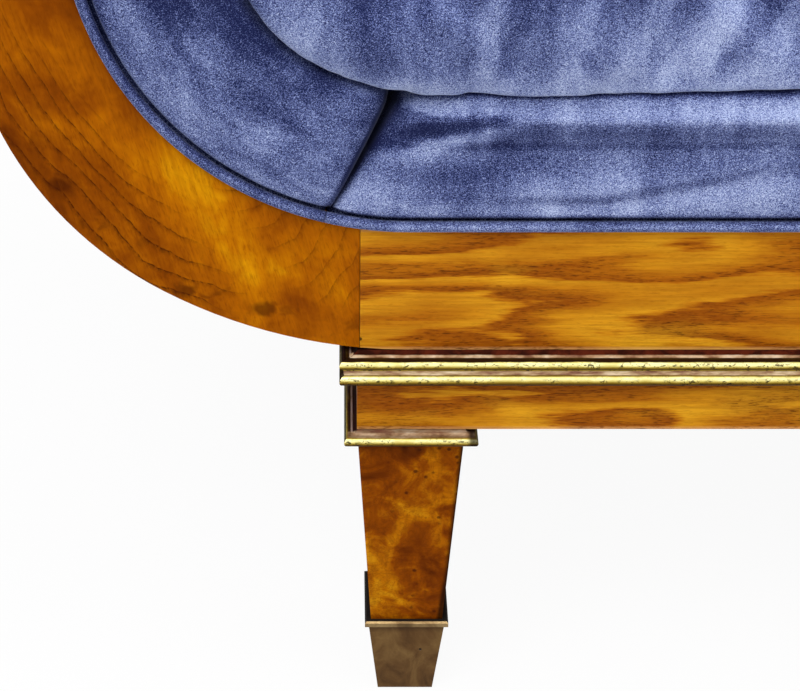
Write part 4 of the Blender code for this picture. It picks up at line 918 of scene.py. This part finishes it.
def make_arm_pad(side, name):
    low = bowl_angle(SEAM_LOW_OUT)
    high = bowl_angle(SEAM_TOP_OUT, BOWL_RADIUS - PAD)
    places = arm_line(low, 270.0, 0.0026)
    gone = gone_along(np.array([place[0] for place in places]))
    rings = []
    for (start, inward, progress), run_along in zip(places, gone):
        depth = pad_depth(progress)
        end = start + inward * depth
        if progress < 1:
            # Near the seam the section leans along it.
            angle = low + (90.0 - low) * progress
            lean = (low - high) * (1 - progress) ** 3
            end = BOWL + (BOWL_RADIUS - depth) * direction(angle - lean)
        across = (end - start) / depth
        front = smooth_line(border(depth, ARM_CREST), 58)
        near = front[-1][1]
        far = rear_face(float(end[1]), (0.055 if progress <= 2 else 0.035) + GAP) - FRONT
        draw_in = min(0.005, depth / 4)
        shares = np.linspace(0.0, 1.0, 46)[1:]
        faces = [(depth - draw_in * abs(2 * share - 1) ** 3, near + (far - near) * share) for share in shares]
        hidden = [(depth * 0.6, far), (GAP, far), (GAP, 0.3 * far)]
        section = np.vstack((front, faces, hidden))
        # The velvet is drawn into the seam at the first sections.
        share = section[:, 0] / depth
        pull = seam_pull(run_along, share)
        section[:, 1] += np.where(section[:, 1] < 0.05, pull * (0.0035 + 0.0105 * share), 0.0)
        section[:, 0] -= pull * 0.010 * share
        ring = start[None, :] + across[None, :] * section[:, :1]
        rings.append(np.stack((side * (LEG_X + ring[:, 0]), FRONT + section[:, 1], ring[:, 1]), axis=1))
    grid = np.array(rings)
    out = grid_normals(grid)
    if out[5, 30, 1] > 0:
        out = -out
    # The edge along the wood and the hidden faces stay even.
    free = np.ones(grid.shape[1])
    free[:8] = 0.0
    free[8:18] = np.linspace(0.0, 1.0, 10)
    free[-6:] = 0.0
    ends = unit(gone / 0.03)[:, None] * unit((gone[-1] - gone) / 0.03)[:, None]
    soft = 0.0011 * field(grid, 16.0, 3.0 * side) + 0.0006 * field(grid, 46.0, 5.0 + side)
    grid = grid + out * (soft * free[None, :] * ends)[:, :, None]
    skin = closed_mesh(name + "_arm_velvet", grid)
    pad = add_object(name + "_arm_velvet", skin, ARM_VELVET, (name + "_arm_pad",))


def seam_out(height):
    share = (height - SEAM_LOW_Z) / (DECK_TOP - SEAM_LOW_Z)
    return SEAM_LOW_OUT + (SEAM_TOP_OUT - SEAM_LOW_OUT) * share - 0.001


def make_seat_pad():
    front = smooth_line(border(PAD, SEAT_CREST), 64)
    rear = rear_face(RAIL_TOP, REAR_BOARD) - FRONT
    deck = [(PAD, y) for y in np.linspace(front[-1][1] + 0.006, rear, 26)]
    inside = PAD - DECK_THICKNESS
    under = [(GAP, rear), (GAP, rear - SPRING_ROOM), (inside, rear - SPRING_ROOM)]
    under += [(inside, SPRING_ROOM), (GAP, SPRING_ROOM)]
    section = np.vstack((front, deck, under))
    lifts = np.ones(len(section))
    lifts[-3:-1] = 0.0
    end_steps = np.linspace(0.72, 1.0, 90)
    steps = np.concatenate((-end_steps[::-1], np.linspace(-0.72, 0.72, 200)[1:-1], end_steps))
    rings = []
    for step in steps:
        slant = eased((abs(step) - 0.90) / 0.10)
        ring = []
        for (run, y), lift_on in zip(section, lifts):
            share = run / PAD
            height = RAIL_TOP + run
            beyond = max(0.0, abs(step) * LEG_X + seam_out(height) * slant - LEG_X - BOWL[0])
            lift = BOWL[1] - math.sqrt(BOWL_RADIUS ** 2 - beyond ** 2) - RAIL_TOP
            height += lift_on * lift * (1 - share)
            x = abs(step) * LEG_X + seam_out(height) * slant
            end_gap = max(0.0, LEG_X + seam_out(height) - x)
            pull = seam_pull(end_gap, max(0.0, share))
            depth = y * (1.0 - 0.35 * math.exp(-end_gap / 0.03)) if y < 0 else y
            if y < 0.05:
                depth += pull * (0.0035 + 0.0105 * share)
            ring.append((math.copysign(x, step), FRONT + depth, height - pull * 0.008 * share * lift_on))
        rings.append(ring)
    grid = np.array(rings)
    x, y, z = grid[:, :, 0], grid[:, :, 1], grid[:, :, 2]
    # Folds lie in the front face, and not along its welt.
    face = unit((FRONT + 0.030 - y) / 0.02)
    face[:, :8] = 0.0
    face[:, 8:16] *= np.linspace(0.0, 1.0, 8)[None, :]
    face[:, -5:] = 0.0
    push = 0.0009 * field(grid * np.array((1.0, 1.0, 1.6)), 15.0, 1.7) + 0.0005 * field(grid, 44.0, 8.1)
    for side in (-1, 1):
        for depth, width, path in SEAT_FOLDS:
            push += depth * fold(x * side, z, path, width)
    grid[:, :, 1] += push * face
    pad = add_object("seat_velvet", closed_mesh("seat_velvet", grid), SEAT_VELVET, ("seat_pad",))


def make_welts():
    # In front of the wood the piping hangs a little over its edge.
    reach = WELT_RADIUS - 0.0004
    y = FRONT - 0.0020
    first = bowl_angle(SEAM_LOW_OUT)
    for side, name in LEFT_RIGHT:
        line = [start + inward * reach for start, inward, progress in arm_line(first, 250.0, 0.003)]
        points = [(side * (LEG_X + out), y, z) for out, z in line]
        add_piping(name + "_arm_piping", points, (name + "_arm_welt",))
    last = first - math.degrees(0.0004 / BOWL_RADIUS)
    bend = [BOWL + (BOWL_RADIUS - reach) * direction(angle) for angle in np.linspace(0.0, last, 18)]
    right = [(LEG_X + out, y, z) for out, z in bend]
    left = [(-x, y, z) for x, y, z in right[::-1]]
    middle = [(x, y, RAIL_TOP + reach) for x in np.linspace(-LEG_X, LEG_X, 300)[1:-1]]
    add_piping("seat_piping", left + middle + right, ("seat_welt",))


# Back and loose cushion

CREST_SHOULDER = ROLL_CENTRE[1] + 0.0415


def flare_x(height):
    """Place of the flare's inner edge at a height."""
    return LEG_X + FLARE_CENTRE[0] - math.sqrt(FLARE_RADIUS ** 2 - (height - FLARE_CENTRE[1]) ** 2)


SHOULDER_X = flare_x(CREST_SHOULDER)


def crest_underside(x):
    share = min(1.0, abs(x) / SHOULDER_X) ** 1.6
    rise = (CREST_TOP - CREST_SHOULDER) * math.cos(math.pi / 2 * share) ** 2
    return CREST_SHOULDER + rise - CREST_HEIGHT


def crest_foot():
    """Place where the crest's underside meets the flare."""
    x = SHOULDER_X
    for _ in range(40):
        x = flare_x(crest_underside(x))
    return x


CREST_FOOT_X = crest_foot()
SIMULATED_FRAMES = 20
STUFFING = {
    "quality": 4, "mass": 0.3, "tension_stiffness": 12.0, "compression_stiffness": 12.0,
    "bending_stiffness": 0.6, "shrink_min": -0.035, "use_pressure": True, "uniform_pressure_force": 4.0,
    "vertex_group_mass": "held",
}


def copy_of(node, name, shrink):
    """A copy of the node's mesh, welded and drawn in a little."""
    source = NODES[node]
    mesh = source.data.copy()
    mesh.name = name
    mesh.transform(source.matrix_world)
    shape = bmesh.new()
    shape.from_mesh(mesh)
    bmesh.ops.remove_doubles(shape, verts=shape.verts[:], dist=0.00005)
    bmesh.ops.recalc_face_normals(shape, faces=shape.faces[:])
    shape.normal_update()
    for corner in shape.verts:
        corner.co -= corner.normal * shrink
    shape.to_mesh(mesh)
    shape.free()
    mesh.materials.clear()
    return mesh


def corners_of(mesh):
    places = np.empty(len(mesh.vertices) * 3)
    mesh.vertices.foreach_get("co", places)
    return places.reshape(-1, 3)


def swollen_by_cloth(item, held_corners):
    """Places of the object's corners after a run of the cloth simulation with pressure inside."""
    group = item.vertex_groups.new(name="held")
    group.add([int(index) for index in np.flatnonzero(held_corners)], 1.0, "ADD")
    cloth = item.modifiers.new("stuffing", "CLOTH")
    for key, value in STUFFING.items():
        setattr(cloth.settings, key, value)
    cloth.settings.effector_weights.gravity = 0.0
    cloth.collision_settings.use_collision = False
    cloth.collision_settings.use_self_collision = False
    cloth.point_cache.frame_start = 1
    cloth.point_cache.frame_end = SIMULATED_FRAMES
    for number in range(1, SIMULATED_FRAMES + 1):
        bpy.context.scene.frame_set(number)
    result = item.evaluated_get(bpy.context.evaluated_depsgraph_get())
    moved = corners_of(result.to_mesh())
    result.to_mesh_clear()
    item.modifiers.clear()
    item.vertex_groups.clear()
    bpy.context.scene.frame_set(1)
    return moved


def stuffed(node, name, body, material, shrink, voxel, held, cap, keep_in):
    """A cushion swollen inside the space of its CAD solid, by no more than the cap."""
    item = add_object(name, copy_of(node, name, shrink), material, (node,), body)
    remesh = item.modifiers.new("even_net", "REMESH")
    remesh.mode = "VOXEL"
    remesh.voxel_size = voxel
    net = bpy.data.meshes.new_from_object(item.evaluated_get(bpy.context.evaluated_depsgraph_get()))
    item.modifiers.clear()
    item.data = net
    net.materials.clear()
    net.materials.append(material)
    start = corners_of(net)
    shift = swollen_by_cloth(item, held(start)) - start
    length = np.linalg.norm(shift, axis=1, keepdims=True)
    moved = keep_in(start + shift * np.minimum(1.0, cap / np.maximum(length, 1e-9)))
    net.vertices.foreach_set("co", moved.reshape(-1))
    net.update()
    net.shade_smooth()
    smooth = item.modifiers.new("soft_surface", "SUBSURF")
    smooth.levels = smooth.render_levels = 1


SEAT_LEVEL = DECK_TOP + GAP
CUSHION_REAR = 0.188
CUSHION_SAG = 0.0130


def keep_cushion_in(p):
    """Rests the cushion on the seat between the arm pads, with its front edge sagging over the roll."""
    p = p.copy()
    p[:, 2] = np.maximum(p[:, 2], SEAT_LEVEL)
    out = np.abs(p[:, 0]) - LEG_X - BOWL[0]
    radius = np.hypot(out, p[:, 2] - BOWL[1])
    limit = BOWL_RADIUS - PAD - 0.0012
    in_pad = (out > 0) & (p[:, 2] < BOWL[1]) & (radius > limit)
    scale = np.where(in_pad, limit / np.maximum(radius, 1e-9), 1.0)
    p[:, 0] = np.where(in_pad, np.sign(p[:, 0]) * (LEG_X + BOWL[0] + out * scale), p[:, 0])
    p[:, 2] = np.where(in_pad, BOWL[1] + (p[:, 2] - BOWL[1]) * scale, p[:, 2])
    p[:, 1] = np.clip(p[:, 1], FRONT - 0.0075, CUSHION_REAR)
    front = unit((FRONT + 0.03 - p[:, 1]) / 0.03)
    aside = np.abs(p[:, 0])
    soft = eased((FRONT + 0.034 - p[:, 1]) / 0.030) * eased((SEAT_LEVEL + 0.050 - p[:, 2]) / 0.050)
    soft *= eased((LEG_X + 0.034 - aside) / 0.030)
    inward = unit((LEG_X - 0.06 - aside) / 0.16)
    outward = unit((aside - 0.565) / 0.05)
    p[:, 2] -= CUSHION_SAG * soft * (1.0 - 0.52 * inward - 0.36 * outward)
    p[:, 1] -= 0.004 * soft * (1.0 - 0.5 * outward)
    roll = unit((FRONT + 0.017 - p[:, 1]) / 0.017)
    lip = unit((FRONT - p[:, 1]) / 0.006)
    p[:, 2] = np.maximum(p[:, 2], SEAT_LEVEL + 0.0006 * roll - 0.0075 * roll ** 2 - 0.0030 * lip)
    wave = np.array([noise.noise(Vector((x * 21.0, 3.3, z * 5.0))) for x, z in p[:, (0, 2)]])
    p[:, 1] += 0.0022 * wave * front * unit((p[:, 2] - SEAT_LEVEL) / 0.02)
    return p


def keep_back_in(p):
    """Settles the back pad's foot on the seat and keeps the pad in front of the uprights."""
    p = p.copy()
    foot = unit((SEAT_LEVEL + 0.045 - p[:, 2]) / 0.045)
    p[:, 2] = np.maximum(p[:, 2] - 0.014 * foot, SEAT_LEVEL)
    p[:, 1] = np.minimum(p[:, 1], rear_face(p[:, 2], REAR_BOARD))
    return p


def make_cushion():
    stuffed(
        "seat_cushion", "loose_cushion", "cushion", CUSHION_VELVET, 0.004, 0.0075,
        lambda p: p[:, 2] < SEAT_LEVEL + 0.006, 0.022, keep_cushion_in,
    )


def make_back():
    stuffed(
        "back_pad", "back_velvet", "sofa", VELVET, 0.003, 0.0085,
        lambda p: p[:, 1] > rear_face(p[:, 2], REAR_BOARD) - 0.012, 0.020, keep_back_in,
    )
    half = float(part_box("back_welt")[1][0]) - 0.001
    points = []
    for x in np.linspace(-half, half, 260):
        z = crest_underside(x) - WELT_RADIUS - 0.0003
        points.append((x, rear_face(z, 0.055 - WELT_RADIUS), z))
    add_piping("back_piping", points, ("back_welt",))


# Outside covers, canvases and dust cover

def panel(name, skin, lining, node, material, seed, swell):
    """A thin cover from a grid of outer points and the matching lining, closed round its edge."""
    rows, columns = skin.shape[:2]
    inner = np.zeros((rows, columns))
    inner[1:-1, 1:-1] = 1.0
    across = np.linspace(-1.0, 1.0, columns)[None, :]
    along = np.linspace(-1.0, 1.0, rows)[:, None]
    full = (1 - across ** 6) * (1 - along ** 6)
    out = skin - lining
    out /= np.linalg.norm(out, axis=2, keepdims=True)
    puff = swell * full + inner * (0.0007 * field(skin, 20.0, seed) + 0.0004 * field(skin, 60.0, seed + 4))
    skin = skin + out * puff[:, :, None]
    index = np.arange(rows * columns).reshape(rows, columns)
    quads = np.stack((index[:-1, :-1], index[:-1, 1:], index[1:, 1:], index[1:, :-1]), axis=-1).reshape(-1, 4)
    offset = rows * columns
    faces = quads.tolist() + (quads[:, ::-1] + offset).tolist()
    rim = index[0].tolist() + index[1:, -1].tolist() + index[-1, -2::-1].tolist() + index[-2:0:-1, 0].tolist()
    for here, after in zip(rim, rim[1:] + rim[:1]):
        faces.append((here, here + offset, after + offset, after))
    return add_object(name, mesh_from(name, np.concatenate((skin, lining)), faces), material, (node,))


def swept(side, line, count):
    """Rows of points from the front board to the rear one, a row for each place on a line up the arm."""
    near = FRONT + FRONT_BOARD
    shares = np.linspace(0.0, 1.0, count)
    rows = []
    for out, z in line:
        reach = rear_face(z, REAR_BOARD) - near
        rows.append([(side * (LEG_X + out), near + reach * share, z) for share in shares])
    return np.array(rows)


def make_outside_arms():
    for side, name in LEFT_RIGHT:
        lines = [outer_line(inset, SEAM_OUT + GAP, 0.007) for inset in (0.004, 0.010)]
        count = min(map(len, lines))
        skin, lining = (swept(side, line[:count], 60) for line in lines)
        node = name + "_outside_arm"
        cover = panel(name + "_outside_velvet", skin, lining, node, VELVET, 2.0 + side, 0.0020)
        for end, inwards, label in ((0, 0.0022, "front"), (-1, -0.0022, "rear")):
            line = skin[:, end] + np.array((side * 0.0004, inwards, 0.0))
            add_piping(name + "_outside_" + label + "_piping", line, (), 0.0020, 10)


def make_canvases():
    for side, name in LEFT_RIGHT:
        node = name + "_arm_canvas"
        top = float(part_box(node)[1][2]) - 0.0005
        places = arm_line(bowl_angle(SEAM_OUT + 0.001), None, 0.010)
        below = [(start, inward) for start, inward, progress in places if start[1] <= top]
        lines = [[start - inward * behind for start, inward in below] for behind in (0.0004, 0.0028)]
        skin, lining = (swept(side, line, 24) for line in lines)
        cloth = panel(name + "_canvas", skin, lining, node, CANVAS, 6.0, -0.0002)


def make_outside_back():
    low = RAIL_TOP + 0.001
    foot = crest_underside(CREST_FOOT_X) - 0.001
    line = [start + inward * 0.001 for start, inward, progress in arm_line(bowl_angle(SEAM_OUT), None, 0.006)]
    edge = np.array([(LEG_X + out, z) for out, z in line if z < foot])
    across = np.linspace(-1.0, 1.0, 150)
    skin, lining = [], []
    for share in np.linspace(0.0, 1.0, 64):
        half = min(float(np.interp(low + (foot - low) * share, edge[:, 1], edge[:, 0])), CREST_FOOT_X - 0.003)
        row = [(x, low + (crest_underside(x) - 0.001 - low) * share) for x in half * across]
        skin.append([(x, rear_face(z, 0.0003), z) for x, z in row])
        lining.append([(x, rear_face(z, 0.0063), z) for x, z in row])
    skin, lining = np.array(skin), np.array(lining)
    cover = panel("outside_back_velvet", skin, lining, "outside_back", VELVET, 9.0, 0.0012)
    wide = float(np.max(skin[:, -1, 0] - skin[:, 0, 0]))
    tall = float(np.max(skin[-1, :, 2] - skin[0, :, 2])) / math.cos(RAKE)
    rim = np.concatenate((skin[0, 2:-2], skin[1:-1, -1], skin[-1, -3:1:-1], skin[-2:0:-1, 0]))
    rim = rim + (rim.mean(axis=0) - rim) * 0.0035
    rim[:, 1] = rear_face(rim[:, 2], -0.0004)
    add_piping("outside_back_piping", np.vstack((rim, rim[:1])), (), 0.0020, 10)


def make_dust_cover():
    edge_x = LEG_X + APRON_OUT - 0.018 - 0.0006
    near, far = FRONT + 0.0186, REAR - 0.0186
    notch = 0.0566
    xs = np.concatenate(((-edge_x,), np.linspace(-edge_x + notch, edge_x - notch, 90), (edge_x,)))
    ys = np.concatenate(((near,), np.linspace(near + notch, far - notch, 40), (far,)))
    points, faces, table = [], [], {}
    for row, y in enumerate(ys):
        for column, x in enumerate(xs):
            if column in (0, len(xs) - 1) and row in (0, len(ys) - 1):
                continue
            sag = (1 - (x / edge_x) ** 2) * (1 - (2 * (y - near) / (far - near) - 1) ** 2)
            ripple = noise.noise(Vector((x * 9.0, y * 14.0, 1.0)))
            z = APRON_BOTTOM + 0.0008 - 0.0045 * sag + 0.0010 * ripple * min(1.0, 6 * sag)
            table[row, column] = len(points)
            points.append((x, y, z))
    for row in range(len(ys) - 1):
        for column in range(len(xs) - 1):
            keys = ((row, column), (row, column + 1), (row + 1, column + 1), (row + 1, column))
            if all(key in table for key in keys):
                faces.append([table[key] for key in keys])
    mesh = mesh_from("dust_cloth", np.array(points), faces)
    cloth = add_object("dust_cloth", mesh, DUST_CLOTH, ("dust_cover",))
    cloth.modifiers.new("cloth_thickness", "SOLIDIFY").thickness = 0.0006


def make_pins():
    """A small round pin in the front of each front sabot and in the back of each rear one."""
    for side, name in LEFT_RIGHT:
        for facing, place in ((1, "front"), (-1, "rear")):
            sabot = NODES[place + "_" + name + "_sabot"]
            start = sabot.matrix_world.inverted() @ Vector((side * PIN_X, -2.0 * facing, PIN_Z))
            hit, spot, normal, face = sabot.ray_cast(start, Vector((0.0, facing, 0.0)))
            shape = bmesh.new()
            bmesh.ops.create_uvsphere(shape, u_segments=14, v_segments=8, radius=0.0010)
            bmesh.ops.scale(shape, vec=(1.0, 0.45, 1.0), verts=shape.verts[:])
            bmesh.ops.translate(shape, vec=sabot.matrix_world @ spot, verts=shape.verts[:])
            pin = place + "_" + name + "_sabot_pin"
            add_object(pin, mesh_of(shape, pin), PIN_BRASS)


for arm_side, arm_name in LEFT_RIGHT:
    make_arm_pad(arm_side, arm_name)
make_seat_pad()
make_welts()
make_outside_arms()
make_outside_back()
make_dust_cover()
make_canvases()
make_back()
make_cushion()
make_pins()


# Floor, light and camera

WHITE = (1.0, 1.0, 1.0, 1.0)


def show_to_eye(tree, lit, seen, share, output):
    """Lights with one shader, and shows another by a share to the camera and in gloss or glass."""
    path = new_node(tree, "ShaderNodeLightPath").outputs
    by_eye = path["Is Camera Ray"]
    for kind in ("Is Glossy Ray", "Is Transmission Ray"):
        by_eye = new_node(tree, "ShaderNodeMath", {0: by_eye, 1: path[kind]}, operation="MAXIMUM").outputs[0]
    part = new_node(tree, "ShaderNodeMath", {0: by_eye, 1: share}, operation="MULTIPLY").outputs[0]
    blend = new_node(tree, "ShaderNodeMixShader", {0: part, 1: lit.outputs[0], 2: seen.outputs[0]})
    tree.links.new(blend.outputs[0], tree.nodes[output].inputs["Surface"])


def make_stage():
    shape = bmesh.new()
    bmesh.ops.create_grid(shape, x_segments=1, y_segments=1, size=30.0)
    mesh = mesh_of(shape, "floor")
    floor = bpy.data.objects.new("floor", mesh)
    floor.location.z = -0.0005
    bpy.context.scene.collection.objects.link(floor)
    material = bpy.data.materials.new("pale_floor")
    material.use_nodes = True
    tree = material.node_tree
    shader = tree.nodes["Principled BSDF"]
    shader.inputs["Base Color"].default_value = (0.80, 0.80, 0.80, 1.0)
    shader.inputs["Roughness"].default_value = 0.9
    glow = new_node(tree, "ShaderNodeEmission", {"Strength": 1.0})
    show_to_eye(tree, shader, glow, 0.94, "Material Output")
    mesh.materials.append(material)


def make_world():
    world = bpy.data.worlds.new("studio")
    bpy.context.scene.world = world
    world.use_nodes = True
    tree = world.node_tree
    ambient = tree.nodes["Background"]
    plain = tree.nodes.new("ShaderNodeBackground")
    for background, strength in ((ambient, 0.42), (plain, 1.0)):
        background.inputs["Color"].default_value = WHITE
        background.inputs["Strength"].default_value = strength
    show_to_eye(tree, ambient, plain, 1.0, "World Output")


def add_lamp(name, place, target, size, power):
    data = bpy.data.lights.new(name, "AREA")
    data.shape = "RECTANGLE"
    data.size, data.size_y = size
    data.energy = power
    lamp = bpy.data.objects.new(name, data)
    lamp.location = place
    lamp.rotation_euler = (Vector(target) - Vector(place)).to_track_quat("-Z", "Y").to_euler()
    bpy.context.scene.collection.objects.link(lamp)


def make_camera():
    data = bpy.data.cameras.new("photo_camera")
    data.sensor_width = 36.0
    data.lens = 90.0
    data.shift_x = 55.0 / 800.0
    data.clip_start = 0.05
    camera = bpy.data.objects.new("photo_camera", data)
    camera.location = (-0.698, -1.3239, 0.863)
    camera.rotation_euler = (math.radians(90.0 - 32.3), 0.0, 0.0)
    bpy.context.scene.collection.objects.link(camera)
    bpy.context.scene.camera = camera


make_stage()
make_world()
add_lamp("key", (-1.6, -2.2, 3.0), (-0.2, -0.1, 0.4), (2.2, 1.6), 95.0)
add_lamp("top", (0.3, -0.3, 3.2), (0.0, 0.0, 0.4), (3.0, 1.8), 70.0)
add_lamp("fill", (2.4, -2.6, 1.6), (0.0, 0.0, 0.4), (2.0, 2.0), 30.0)
add_lamp("rear", (0.0, 3.2, 2.2), (0.0, 0.2, 0.5), (3.0, 1.6), 55.0)
make_camera()
bpy.context.scene.view_settings.view_transform = "Standard"
